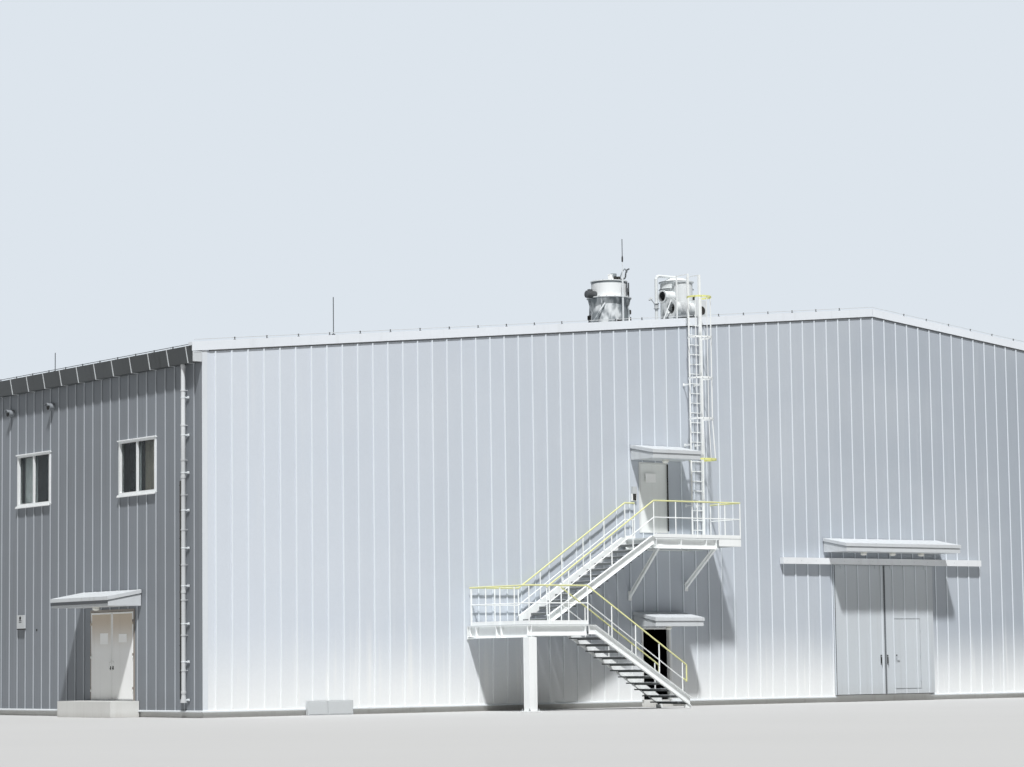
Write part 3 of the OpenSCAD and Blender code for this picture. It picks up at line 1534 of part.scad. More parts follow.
module fan_drum() {
    duct_y = equipment_y - drum_r - duct_r - 2 * ring_t;
    axis_z = drum_z + duct_z;
    duct_x = drum_x - duct_long - duct_post_w;
    fan_x = duct_x + duct_long;
    front_y = equipment_y - drum_r;
    front_x = drum_x - drum_ring * 4;
    branch_x = drum_x - drum_r - 2 * branch_r;
    color("#e8eaea") union() {
        roof_kerb(drum_x, equipment_y, kerb_w, kerb_w, drum_z + 1);
        translate([drum_x, equipment_y, drum_z]) {
            cylinder(h = drum_h, r = drum_r);
            translate([0, 0, drum_h - 1]) cylinder(h = drum_cone_h, r1 = drum_r - ring_t, r2 = drum_r / 2);
            for (z = [drum_h - drum_r / 2, drum_h - ring_t]) translate([0, 0, z])
                cylinder(h = ring_t, r = drum_r + drum_ring);
        }
        translate([front_x, front_y, axis_z]) cylinder(h = front_drum_h - duct_z, r = front_drum_r);
        translate([front_x, front_y, drum_z + front_drum_h])
            cylinder(h = ring_t, r = front_drum_r + drum_ring);
        translate([branch_x, front_y + branch_r, drum_z + branch_z]) branch(drum_x - branch_x);
        translate([duct_x, duct_y, axis_z]) bellows_duct();
        box([fan_x - 1, duct_y - duct_r, axis_z - duct_r],
            [fan_x + fan_w, front_y, axis_z + duct_r + 2 * ring_t]);
        duct_foot(fan_x + fan_w / 2, duct_y, fan_w - 2 * duct_post_w, axis_z - duct_r + 1);
        duct_foot(duct_x + 2 * duct_post_w, duct_y, duct_post_w, axis_z - duct_r + ring_t + 1);
        vent_bend(branch_x + drum_ring, roof_top(branch_x));
    }
}

// Places of the lightning rods on the front roof edge and on the left eave, and of the mast
edge_rod = [-half_w + 2090, -half_d + rake_back / 2];
eave_rod = [-half_w - roof_overhang / 2, -half_d + eave_rod_inset];
mast = [vessel_x - 25, equipment_y - ring_r - 20];

module lightning_rods() {
    color("#5b6063") {
        union() {
            translate([0, 0, rake_up - roof_rise])
                roof_kerb(edge_rod[0], edge_rod[1], rod_r * 6, rod_r * 6, roof_top(edge_rod[0]) + 16);
            translate([edge_rod[0], edge_rod[1], roof_under(edge_rod[0]) + rake_up + 15])
                cylinder(h = rod_h, r = rod_r);
        }
        union() {
            roof_kerb(eave_rod[0], eave_rod[1], rod_r * 6, rod_r * 6, roof_top(eave_rod[0]) + 16);
            translate([eave_rod[0], eave_rod[1], roof_top(eave_rod[0]) + 15])
                cylinder(h = eave_rod_h, r = rod_r);
        }
        union() {
            roof_kerb(mast[0], mast[1], mast_r * 4, mast_r * 4, roof_top(mast[0]) + 16);
            translate([mast[0], mast[1], roof_top(mast[0]) + 15]) {
                cylinder(h = mast_h * 0.6, r = mast_r);
                cylinder(h = mast_h, r = rod_r);
            }
        }
    }
}

module vent_hood() {
    reach = hood_r * 1.6;
    difference() {
        rotate([90, 0, 0]) cylinder(h = reach, r = hood_r);
        translate([0, -reach, -hood_r]) rotate([-35, 0, 0])
            box([-hood_r * 2, -hood_r * 2, -hood_r * 2], [hood_r * 2, hood_r * 1.2, 0]);
    }
}

module wall_fittings() {
    color("#9fa4a7") {
        on_front() {
            for (k = [0, 1])
                box([base_box_x[k], -base_box_d, 0], [base_box_x[k] + base_box_w[k], -rib_h, base_box_h]);
            door_box_x = stair_x0 - door_box_gap;
            box([door_box_x - door_box_w, -door_box_d, door_box_z], [door_box_x, 0, door_box_z + door_box_h]);
        }
        on_left() {
            side_box_x = half_d - side_box_inset;
            box([side_box_x - side_box_w, -side_box_d, side_box_z],
                [side_box_x, -rib_h, side_box_z + side_box_h]);
            for (x = hood_inset) translate([half_d - x, 0, hood_z]) vent_hood();
        }
    }
}

floor_slab();
upper_floor();
hall_columns();
rafters_left();
rafters_right();
purlins();
front_wall();
front_wall_over_doors();
rear_wall();
side_wall_lower();
side_wall_bands();
side_wall_piers();
roof_left();
roof_right();
roof_trims();
gutters();
gutter_straps();
downpipes();
corner_trims();
window_frames();
window_glass();
door_frames();
side_leaf_front();
side_leaf_rear();
side_step();
canopies();
canopy_lights();
gate_track_cover();
gate_leaf_left();
gate_leaf_right();
wicket_leaf();
lower_door_leaf();
upper_door_leaf();
stair_landings();
stair_supports();
stair_stringers();
stair_treads();
stair_railings();
stair_handrails();
ladder();
ladder_cage();
filter_vessel();
fan_drum();
lightning_rods();
wall_fittings();
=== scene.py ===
"""Looks of a factory building: a finish for every CAD node, and the small pieces that CAD leaves out.

All sizes are metres of the 1:2 model. X runs along the gable front, Y from front to rear and Z up
from the ground.
"""

import json
import logging
import math
from dataclasses import dataclass
from enum import Enum
from typing import Callable, Iterable, Sequence

import bpy
from mathutils import Matrix, Vector


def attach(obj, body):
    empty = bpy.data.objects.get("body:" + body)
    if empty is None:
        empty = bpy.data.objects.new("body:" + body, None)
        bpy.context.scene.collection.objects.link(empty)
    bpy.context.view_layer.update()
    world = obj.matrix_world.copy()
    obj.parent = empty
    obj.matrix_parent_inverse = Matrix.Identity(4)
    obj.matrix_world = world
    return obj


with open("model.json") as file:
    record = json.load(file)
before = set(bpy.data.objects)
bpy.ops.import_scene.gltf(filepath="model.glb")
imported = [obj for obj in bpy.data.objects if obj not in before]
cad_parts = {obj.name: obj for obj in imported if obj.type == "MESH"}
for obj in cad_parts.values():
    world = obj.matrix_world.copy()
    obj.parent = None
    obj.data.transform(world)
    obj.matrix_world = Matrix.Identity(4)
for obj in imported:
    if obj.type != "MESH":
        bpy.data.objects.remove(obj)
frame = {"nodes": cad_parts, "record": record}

LOG = logging.getLogger("factory_building")
ROOT = "building"
# Share of mirror-like light that painted surfaces and panes throw back
PAINT_SPECULAR = 0.3
GLASS_SPECULAR = 0.1
BUMP_STRENGTH = 0.6
SMOOTH_ANGLE = 35.0

Point = tuple[float, float, float]
Span = tuple[float, float]
Rings = Sequence[Span]
Tone = tuple[int, int, int]
Socket = bpy.types.NodeSocket
Thing = bpy.types.Object


def linear(tone: Tone) -> tuple[float, float, float, float]:
    """Turn a written colour into the linear colour that a shader takes.

    Args:
        tone: red, green and blue from 0 to 255 as seen on a screen.

    Returns:
        Linear red, green, blue and an alpha of 1.
    """
    parts = [c / 255 for c in tone]
    return (*[c / 12.92 if c <= 0.04045 else ((c + 0.055) / 1.055) ** 2.4 for c in parts], 1.0)


class Graph:
    """Adds and joins the nodes of one shader tree."""

    def __init__(self, tree: bpy.types.NodeTree) -> None:
        """Keep the tree that nodes are added to."""
        self.tree = tree

    def group(self, name: str, inputs: dict[str, object]) -> bpy.types.Node:
        """Place one of the shared node groups with its own values."""
        return self.node("ShaderNodeGroup", inputs, node_tree=GROUPS[name])

    def node(self, kind: str, inputs: dict | None = None, **settings: object) -> bpy.types.Node:
        """Add one node.

        Args:
            kind: Blender's name of the node type.
            inputs: socket names or numbers, each with a value or a socket to join.
            settings: properties of the node.

        Returns:
            The new node.
        """
        made = self.tree.nodes.new(kind)
        for name, value in settings.items():
            setattr(made, name, value)
        for name, value in (inputs or {}).items():
            self.feed(made.inputs[name], value)
        return made

    def feed(self, socket: Socket, value: object) -> None:
        """Join a socket to another one, or set its plain value.

        Args:
            socket: input to feed.
            value: output to join to it, or a plain value.
        """
        if isinstance(value, bpy.types.NodeSocket):
            self.tree.links.new(value, socket)
        else:
            socket.default_value = value

    def maths(self, operation: str, a: object, b: object = 0.0, clamp: bool = False) -> Socket:
        """Join two numbers with a Math node and give its result."""
        return self.node("ShaderNodeMath", {0: a, 1: b}, operation=operation, use_clamp=clamp).outputs[0]

    def add(self, a: object, b: object, clamp: bool = False) -> Socket:
        """Add two numbers."""
        return self.maths("ADD", a, b, clamp)

    def less(self, a: object, b: object, clamp: bool = False) -> Socket:
        """Take the second number from the first."""
        return self.maths("SUBTRACT", a, b, clamp)

    def times(self, a: object, b: object) -> Socket:
        """Multiply two numbers."""
        return self.maths("MULTIPLY", a, b)

    def blend(self, amount: object, a: object, b: object, kind: str = "MIX") -> Socket:
        """Mix two colours and give the mixed one.

        Args:
            amount: how much of the second colour shows, from 0 to 1.
            a: first colour.
            b: second colour.
            kind: blend type of the Mix node.

        Returns:
            The colour output.
        """
        made = self.node("ShaderNodeMix", data_type="RGBA", blend_type=kind)
        self.feed(made.inputs[0], amount)
        self.feed(made.inputs[6], a)
        self.feed(made.inputs[7], b)
        return made.outputs[2]

    def scaled(self, colour: object, factor: object) -> Socket:
        """Multiply a colour by one number and give the result.

        Args:
            colour: the colour.
            factor: the number.

        Returns:
            The scaled colour.
        """
        grey = self.node("ShaderNodeCombineColor", {0: factor, 1: factor, 2: factor}).outputs[0]
        return self.blend(1.0, colour, grey, "MULTIPLY")

    def ramp(self, value: object, low: object, high: object) -> Socket:
        """Map low..high to 0..1 smoothly, clamped.

        Args:
            value: number to map.
            low: value that becomes 0.
            high: value that becomes 1.

        Returns:
            The mapped number.
        """
        made = self.node("ShaderNodeMapRange", interpolation_type="SMOOTHSTEP")
        self.feed(made.inputs["Value"], value)
        self.feed(made.inputs["From Min"], low)
        self.feed(made.inputs["From Max"], high)
        return made.outputs["Result"]

    def place(self) -> Socket:
        """Give the place on the surface in the object's own coordinates."""
        return self.node("ShaderNodeTexCoord").outputs["Object"]

    def axis(self, vector: Socket, name: str) -> Socket:
        """Give one coordinate, named X, Y or Z, of a place."""
        return self.node("ShaderNodeSeparateXYZ", {0: vector}).outputs[name]

    def noise(self, vector: Socket, scale: Point, detail: float = 3.0, seed: float = 0.0) -> Socket:
        """Noise stretched by its own scale on each axis.

        Args:
            vector: place on the surface.
            scale: cells for each metre on x, y and z.
            detail: octaves of finer noise.
            seed: shift that makes two noises differ.

        Returns:
            The noise value, about 0.5 on average.
        """
        moved = self.node("ShaderNodeMapping", {"Vector": vector, "Location": (seed, seed * 0.7, seed * 1.3),
                                                "Scale": scale})
        made = self.node("ShaderNodeTexNoise", {"Vector": moved.outputs[0], "Scale": 1.0, "Detail": detail,
                                                "Roughness": 0.55})
        return made.outputs["Fac"]


def new_group(name: str, inputs: dict[str, tuple[str, object]],
              outputs: dict[str, str]) -> tuple[Graph, dict, dict]:
    """Start a shader node group with named sockets.

    Args:
        name: name of the group.
        inputs: each input's name with its socket type and first value.
        outputs: each output's name with its socket type.

    Returns:
        The group's graph, its input sockets by name and its output sockets by name.
    """
    tree = bpy.data.node_groups.new(name, "ShaderNodeTree")
    for label, (kind, value) in inputs.items():
        made = tree.interface.new_socket(name=label, in_out="INPUT", socket_type=kind)
        if value is not None:
            made.default_value = value
    for label, kind in outputs.items():
        tree.interface.new_socket(name=label, in_out="OUTPUT", socket_type=kind)
    graph = Graph(tree)
    begin = tree.nodes.new("NodeGroupInput")
    end = tree.nodes.new("NodeGroupOutput")
    given = {label: begin.outputs[label] for label in inputs}
    out = {label: end.inputs[label] for label in outputs}
    return graph, given, out


FLOAT, COLOUR, VECTOR = "NodeSocketFloat", "NodeSocketColor", "NodeSocketVector"


# Cells for each metre on x, y and z of the clouds, the rain streaks and the surface grain
CLOUD_CELLS: Point = (0.5, 0.5, 0.7)
STREAK_CELLS: Point = (9.0, 9.0, 0.35)
GRAIN_CELLS: Point = (38.0, 38.0, 30.0)
# How much of the streaks frays the upper limit of the splash dirt, and where that dirt sets in
SPLASH_FRAY = 0.2
SPLASH_SPAN: Span = (0.08, 1.05)
# How far the grain moves the tone and the gloss
GRAIN_TONE = 0.06
GRAIN_GLOSS = 0.16
# Width over which a rib's painted highlight turns into the line of painted shade at its foot
RIB_SOFT = 0.003


def weather_group() -> bpy.types.NodeTree:
    """Weather on a painted surface: cloudy tone, rain streaks, splash dirt at the foot and a worn gloss.

    Returns:
        The node tree of the group.
    """
    graph, given, out = new_group(
        "weather",
        {"Vector": (VECTOR, None), "Base Color": (COLOUR, (0.8, 0.8, 0.8, 1)),
         "Dirt Color": (COLOUR, (0.2, 0.18, 0.15, 1)), "Cloud": (FLOAT, 0.1), "Streak": (FLOAT, 0.1),
         "Splash": (FLOAT, 0.1), "Splash Height": (FLOAT, 0.5), "Roughness": (FLOAT, 0.5)},
        {"Color": COLOUR, "Roughness": FLOAT, "Height": FLOAT})
    place = given["Vector"]
    cloud = graph.ramp(graph.noise(place, CLOUD_CELLS, 4.0, 3.1), 0.32, 0.72)
    streak = graph.ramp(graph.noise(place, STREAK_CELLS, 3.0, 7.7), 0.52, 0.78)
    fine = graph.noise(place, GRAIN_CELLS, 3.0, 1.9)
    height = graph.maths("DIVIDE", graph.axis(place, "Z"), given["Splash Height"])
    low = graph.less(1.0, height, clamp=True)
    ragged = graph.ramp(graph.add(low, graph.times(streak, SPLASH_FRAY)), *SPLASH_SPAN)
    clouds = graph.times(cloud, given["Cloud"])
    streaks = graph.times(streak, given["Streak"])
    splashes = graph.times(ragged, given["Splash"])
    dirt = graph.add(clouds, graph.add(streaks, splashes), clamp=True)
    toned = graph.blend(dirt, given["Base Color"], given["Dirt Color"])
    speck = graph.times(graph.less(fine, 0.5), GRAIN_TONE)
    worn = graph.times(graph.less(fine, 0.45), GRAIN_GLOSS)
    graph.feed(out["Color"], graph.scaled(toned, graph.add(1.0, speck)))
    graph.feed(out["Roughness"], graph.add(given["Roughness"], worn, clamp=True))
    graph.feed(out["Height"], fine)
    return graph.tree


def seams_group() -> bpy.types.NodeTree:
    """Ribbed sheet: panels that differ slightly in tone, a painted highlight on each rib and a line of
    painted shade at each rib's foot.

    Returns:
        The node tree of the group.
    """
    graph, given, out = new_group(
        "seams",
        {"Along": (FLOAT, 0.0), "Pitch": (FLOAT, 0.25), "Rib Half": (FLOAT, 0.012), "Foot": (FLOAT, 0.006),
         "Spread": (FLOAT, 0.05), "Foot Shade": (FLOAT, 0.2), "Base Color": (COLOUR, (0.6, 0.6, 0.6, 1)),
         "Rib Highlight Color": (COLOUR, (0.8, 0.8, 0.8, 1))},
        {"Color": COLOUR})
    count = graph.maths("DIVIDE", given["Along"], given["Pitch"])
    nearest = graph.maths("ROUND", count)
    away = graph.times(graph.maths("ABSOLUTE", graph.less(count, nearest)), given["Pitch"])
    edge = graph.add(given["Rib Half"], RIB_SOFT)
    # Painted highlight along each rib, then a line of painted shade at its foot
    rib = graph.less(1.0, graph.ramp(away, given["Rib Half"], edge))
    foot = graph.less(1.0, graph.ramp(away, edge, graph.add(edge, given["Foot"])))
    panel = graph.node("ShaderNodeTexWhiteNoise", {"W": graph.maths("FLOOR", count)}, noise_dimensions="1D")
    swing = graph.times(graph.less(panel.outputs["Value"], 0.5), given["Spread"])
    toned = graph.scaled(given["Base Color"], graph.add(1.0, swing))
    lined = graph.scaled(toned, graph.less(1.0, graph.times(foot, given["Foot Shade"])))
    graph.feed(out["Color"], graph.blend(rib, lined, given["Rib Highlight Color"]))
    return graph.tree


GROUPS: dict[str, bpy.types.NodeTree] = {}


class Sheen(Enum):
    """How a painted surface throws light back."""

    MATT = 0.72
    SATIN = 0.48
    GLOSS = 0.25


class Way(Enum):
    """Axis that a pattern runs along."""

    X = "X"
    Y = "Y"
    Z = "Z"


def blank_material(name: str) -> tuple[bpy.types.Material, Graph, bpy.types.Node]:
    """Start a node material.

    Args:
        name: its name.

    Returns:
        The material, its graph and its Principled node.
    """
    material = bpy.data.materials.new(name)
    material.use_nodes = True
    graph = Graph(material.node_tree)
    return material, graph, material.node_tree.nodes["Principled BSDF"]


@dataclass(frozen=True)
class Paint:
    """Paint or bare surface with its weather.

    Args:
        name: name of the material.
        tone: colour as seen on a screen.
        sheen: how glossy it is.
        metal: share of bare metal.
        dirt: colour of the dirt.
        cloud: strength of the cloudy tone.
        streak: strength of the rain streaks.
        splash: strength of the dirt near the ground.
        splash_height: height that the ground dirt reaches.
        relief: height of the surface grain in metres.
    """

    name: str
    tone: Tone
    sheen: Sheen = Sheen.SATIN
    metal: float = 0.0
    dirt: Tone = (112, 104, 92)
    cloud: float = 0.08
    streak: float = 0.08
    splash: float = 0.0
    splash_height: float = 0.5
    relief: float = 0.0004

    def make(self) -> bpy.types.Material:
        """Build the material.

        Returns:
            The finished node material.
        """
        material, graph, shader = blank_material(self.name)
        self.dress(graph, shader, self.base(graph))
        return material

    def base(self, graph: Graph) -> object:
        """Give the clean colour, a plain one unless a finish draws more."""
        return linear(self.tone)

    def dress(self, graph: Graph, shader: bpy.types.Node, base: object) -> None:
        """Join the weather group to the shader.

        Args:
            graph: graph of the material.
            shader: its Principled node.
            base: clean colour, as a value or a socket.
        """
        weather = graph.group("weather", {
            "Vector": graph.place(), "Base Color": base, "Dirt Color": linear(self.dirt),
            "Cloud": self.cloud, "Streak": self.streak, "Splash": self.splash,
            "Splash Height": self.splash_height, "Roughness": self.sheen.value})
        bump = graph.node("ShaderNodeBump", {
            "Height": weather.outputs["Height"], "Distance": self.relief, "Strength": BUMP_STRENGTH})
        graph.feed(shader.inputs["Base Color"], weather.outputs["Color"])
        graph.feed(shader.inputs["Roughness"], weather.outputs["Roughness"])
        graph.feed(shader.inputs["Normal"], bump.outputs[0])
        shader.inputs["Metallic"].default_value = self.metal
        shader.inputs["Specular IOR Level"].default_value = PAINT_SPECULAR


@dataclass(frozen=True)
class Sheet(Paint):
    """Ribbed sheet whose ribs carry a painted highlight, with painted shade at their feet.

    Args:
        way: axis that the ribs are spaced along.
        pitch: spacing of the ribs.
        rib: colour of the painted highlight on the ribs.
        far: colour that the tone drifts to at the far end of the way, a painted falloff of the sheen.
        span: places of the near and the far end.
        rib_half: half the width of the painted highlight on a rib.
        foot_shade: darkness of the line of painted shade beside a rib.
        spread: how much the panels differ.
    """

    way: Way = Way.X
    pitch: float = 0.25
    rib: Tone = (230, 236, 242)
    far: Tone | None = None
    span: Span = (-12.2, 12.2)
    rib_half: float = 0.011
    foot_shade: float = 0.12
    spread: float = 0.05

    def base(self, graph: Graph) -> object:
        """Draw the panels, the ribs' painted highlight and shade, and the painted falloff of the sheen along
        the way.

        Args:
            graph: graph of the material.

        Returns:
            The ribbed colour as a socket.
        """
        along = graph.axis(graph.place(), self.way.value)
        near, far = self.span
        # Painted falloff of the sheen from the near end to the far end
        drift = graph.node("ShaderNodeMapRange", {"Value": along, "From Min": near, "From Max": far})
        ground = graph.blend(drift.outputs["Result"], linear(self.tone), linear(self.far or self.tone))
        seams = graph.group("seams", {
            "Along": along, "Pitch": self.pitch, "Rib Half": self.rib_half, "Spread": self.spread,
            "Foot Shade": self.foot_shade, "Base Color": ground, "Rib Highlight Color": linear(self.rib)})
        return seams.outputs["Color"]


@dataclass(frozen=True)
class Banded(Paint):
    """Paint with a second colour between pairs of places along one axis.

    Args:
        other: the second colour.
        bands: low and high place of each band.
        way: axis that the bands are measured along.
        mirrored: measure from the middle to both sides.
        soft: width over which one colour turns into the other.
    """

    other: Tone = (200, 200, 200)
    bands: tuple[Span, ...] = ()
    way: Way = Way.Z
    mirrored: bool = False
    soft: float = 0.002

    def base(self, graph: Graph) -> object:
        """Draw the bands of the second colour.

        Args:
            graph: graph of the material.

        Returns:
            The banded colour as a socket.
        """
        along = graph.axis(graph.place(), self.way.value)
        if self.mirrored:
            along = graph.maths("ABSOLUTE", along)
        shown: object = 0.0
        for low, high in self.bands:
            rise = graph.ramp(along, low, low + self.soft)
            fall = graph.ramp(along, high - self.soft, high)
            shown = graph.add(shown, graph.less(rise, fall), clamp=True)
        return graph.blend(shown, linear(self.tone), linear(self.other))


@dataclass(frozen=True)
class Mottled(Banded):
    """Banded paint with blotches of a third colour up to a height.

    Args:
        blotch: colour of the blotches.
        reach: height up to which they show.
        grain: blotches in a metre.
        patch: noise values between which a blotch sets in.
        fade: height over which the blotches end.
    """

    blotch: Tone = (230, 234, 235)
    reach: float = 1.0
    grain: float = 5.0
    patch: Span = (0.52, 0.64)
    fade: float = 0.01

    def base(self, graph: Graph) -> object:
        """Draw the blotches over the banded colour.

        Args:
            graph: graph of the material.

        Returns:
            The colour as a socket.
        """
        place = graph.place()
        cells = (self.grain, self.grain, self.grain * 0.5)
        spots = graph.ramp(graph.noise(place, cells, 3.0, 4.4), *self.patch)
        above = graph.ramp(graph.axis(place, "Z"), self.reach, self.reach + self.fade)
        shown = graph.times(spots, graph.less(1.0, above))
        return graph.blend(shown, Banded.base(self, graph), linear(self.blotch))


@dataclass(frozen=True)
class Glazing:
    """Window glass with a faint haze and smears.

    Args:
        name: name of the material.
        tone: colour of the glass.
        clear: share of the light that passes.
        gloss: roughness of the clean glass.
        bending: how strongly light bends in it, low so that a slanted view still shows the room.
        haze: how far the haze moves the tone.
        smear: roughness that the smears add.
    """

    name: str
    tone: Tone = (200, 206, 207)
    clear: float = 0.985
    gloss: float = 0.02
    bending: float = 1.15
    haze: float = 0.2
    smear: float = 0.05

    def make(self) -> bpy.types.Material:
        """Build the material and give it back.

        Returns:
            The finished node material.
        """
        material, graph, shader = blank_material(self.name)
        place = graph.place()
        smear = graph.noise(place, (5.0, 5.0, 2.0), 2.0, 2.5)
        haze = graph.noise(place, (1.1, 1.1, 1.5), 2.0, 9.2)
        shade = graph.add(0.9, graph.times(haze, self.haze))
        graph.feed(shader.inputs["Base Color"], graph.scaled(linear(self.tone), shade))
        graph.feed(shader.inputs["Roughness"], graph.add(self.gloss, graph.times(smear, self.smear)))
        shader.inputs["Transmission Weight"].default_value = self.clear
        shader.inputs["IOR"].default_value = self.bending
        shader.inputs["Specular IOR Level"].default_value = GLASS_SPECULAR
        return material


# Pale dust that is blown against the foot of the gable, and thin dirt on white paint
PALE_DUST: Tone = (236, 238, 238)
PALE_DIRT: Tone = (150, 148, 142)

FINISHES: dict[str, Paint | Glazing] = {finish.name: finish for finish in (
    Paint("concrete", (222, 223, 221), Sheen.MATT, dirt=(150, 146, 138), cloud=0.25, streak=0.1, splash=0.25,
          splash_height=0.1, relief=0.0015),
    Paint("frame_steel", (132, 138, 143), cloud=0.1),
    # The gable's drift towards far is a painted falloff of sheen along the wall
    Sheet("gable_sheet", (210, 217, 226), dirt=PALE_DUST, cloud=0.10, streak=0.05, splash=0.95,
          splash_height=1.4, far=(130, 138, 147), rib=(225, 232, 239), rib_half=0.009),
    Sheet("side_sheet", (130, 135, 141), dirt=(92, 93, 93), cloud=0.12, streak=0.14, splash=0.14,
          way=Way.Y, rib=(180, 186, 192), foot_shade=0.10, spread=0.06, rib_half=0.010),
    Sheet("roof_sheet", (166, 171, 176), dirt=(104, 104, 100), cloud=0.16, streak=0.05, way=Way.Y,
          pitch=0.5, rib=(206, 210, 214), foot_shade=0.15),
    Paint("white_trim", (233, 238, 244), dirt=PALE_DIRT, cloud=0.06, streak=0.08),
    Paint("gutter_grey", (80, 84, 86), dirt=(48, 48, 47), cloud=0.3, streak=0.35),
    Paint("strap_white", (224, 229, 232), cloud=0.05),
    # The lighter band on the upper length of the downpipes is a painted highlight
    Banded("pipe_grey", (200, 203, 205), Sheen.GLOSS, dirt=(96, 96, 94), cloud=0.1, streak=0.14, splash=0.3,
           relief=0.0, other=(226, 229, 231), bands=((3.45, 5.2),), soft=0.5),
    Paint("window_white", (236, 239, 240), Sheen.GLOSS, cloud=0.04, streak=0.05, relief=0.0001),
    Glazing("pane"),
    Paint("door_white", (248, 249, 248), cloud=0.05, streak=0.06, splash=0.2, splash_height=0.4),
    Paint("door_beige", (240, 243, 241), cloud=0.06, streak=0.06),
    Sheet("gate_sheet", (196, 202, 207), dirt=PALE_DIRT, cloud=0.08, streak=0.12, splash=0.2,
          splash_height=0.4, rib=(218, 224, 230), foot_shade=0.1, rib_half=0.009),
    Paint("canopy_sheet", (207, 211, 214), dirt=(128, 128, 124), cloud=0.1, streak=0.14),
    Paint("light_shell", (242, 242, 236), Sheen.GLOSS, cloud=0.03, streak=0.02),
    Paint("stair_white", (246, 249, 249), dirt=PALE_DIRT, cloud=0.06, streak=0.09, splash=0.12),
    Paint("cover_white", (232, 235, 238), cloud=0.06, streak=0.1),
    # The ridge cap is darker than the rake trims: painted shade on top faces that take the strongest light
    Banded("roof_trim_paint_ridge_shade", (233, 238, 244), dirt=PALE_DIRT, cloud=0.06, streak=0.08,
           other=(168, 173, 178), bands=((0.0, 9.10),), way=Way.Y, mirrored=True, soft=0.004),
    # The darker bands at the tops of the landing decks are painted shade
    Banded("landing_paint_deck_shade", (246, 249, 249), dirt=PALE_DIRT, cloud=0.06, streak=0.09,
           other=(212, 217, 218), bands=((1.165, 1.19), (2.415, 2.44)), soft=0.001),
    # The dark tread tone stands in for the shade under the treads: painted shade
    Paint("tread_grey", (112, 116, 117), Sheen.MATT, dirt=(96, 96, 94), cloud=0.2, streak=0.1),
    Paint("rail_yellow", (229, 229, 168), cloud=0.08, streak=0.06),
    Mottled("vessel_grey", (142, 149, 153), dirt=(62, 66, 69), cloud=0.16, streak=0.5,
            other=(246, 249, 250), bands=((6.255, 6.485), (6.514, 6.60)), soft=0.004, blotch=(236, 240, 242),
            reach=6.245, grain=4.5),
    Paint("duct_white", (233, 237, 238), dirt=(104, 105, 103), cloud=0.14, streak=0.3),
    Banded("rod_grey", (76, 80, 84), metal=0.2, other=(226, 230, 232), bands=((5.72, 6.80),)),
    Banded("fitting_grey", (196, 200, 202), cloud=0.08, streak=0.12, other=(140, 145, 150),
           bands=((4.2, 4.6),)),
    # The corner trim's leg on the side wall is darker than its leg on the gable: painted shade
    Banded("corner_paint_side_shade", (130, 135, 141), dirt=PALE_DIRT, cloud=0.05, streak=0.06,
           other=(219, 224, 229), bands=((9.2045, 9.3),), way=Way.Y, mirrored=True, soft=0.0006),
    Banded("cage_paint", (240, 243, 243), cloud=0.06, streak=0.08, other=(232, 233, 150),
           bands=((3.59, 3.63), (6.01, 6.06)), soft=0.003),
    # The warm darker upper part of the side door's leaves is painted shade under the canopy
    Banded("side_leaf_paint_upper_shade", (248, 249, 248), cloud=0.05, streak=0.06, splash=0.2, splash_height=0.4,
           other=(200, 186, 168), bands=((0.85, 3.0),), soft=0.5),
    # Within the band on x the side door's frame is painted shade
    Banded("frame_paint_side_door_shade", (222, 224, 223), cloud=0.08, streak=0.1, other=(150, 144, 137),
           bands=((-12.6, -12.0),), way=Way.X),
    Paint("hood_grey", (136, 141, 146), cloud=0.1, streak=0.1),
    Paint("dark_rubber", (40, 42, 43), Sheen.MATT, cloud=0.15, streak=0.1),
    Paint("shadow_grey", (84, 88, 92), Sheen.MATT, cloud=0.15, streak=0.1),
    Paint("seal_grey", (166, 171, 176), Sheen.MATT, cloud=0.1, streak=0.1),
    Paint("bare_steel", (176, 179, 180), Sheen.GLOSS, metal=0.7, cloud=0.1, streak=0.1, relief=0.0),
    Paint("blind_cloth", (240, 240, 234), Sheen.MATT, cloud=0.1, streak=0.1),
    Paint("curtain_brown", (168, 156, 138), Sheen.MATT, cloud=0.1, streak=0.1),
    # Black of the boards that stand in for the unlit room behind the windows: painted shade
    Paint("room_shade_black", (26, 27, 27), Sheen.MATT, cloud=0.05, streak=0.05),
    Paint("plate_white", (253, 254, 253), cloud=0.04, streak=0.03),
)}

# CAD nodes whose finish isn't the one named like their slot
NODE_FINISH = {"gate_track_cover": "cover_white", "roof_trims": "roof_trim_paint_ridge_shade",
               "stair_landings": "landing_paint_deck_shade", "corner_trims": "corner_paint_side_shade", "ladder_cage": "cage_paint",
               "door_frames": "frame_paint_side_door_shade", "side_leaf_front": "side_leaf_paint_upper_shade",
               "side_leaf_rear": "side_leaf_paint_upper_shade"}
MATERIALS: dict[str, bpy.types.Material] = {}


def paint_of(name: str) -> bpy.types.Material:
    """Give a finish's material, built on first use.

    Args:
        name: name of the finish.

    Returns:
        Its material.
    """
    if name not in MATERIALS:
        MATERIALS[name] = FINISHES[name].make()
    return MATERIALS[name]


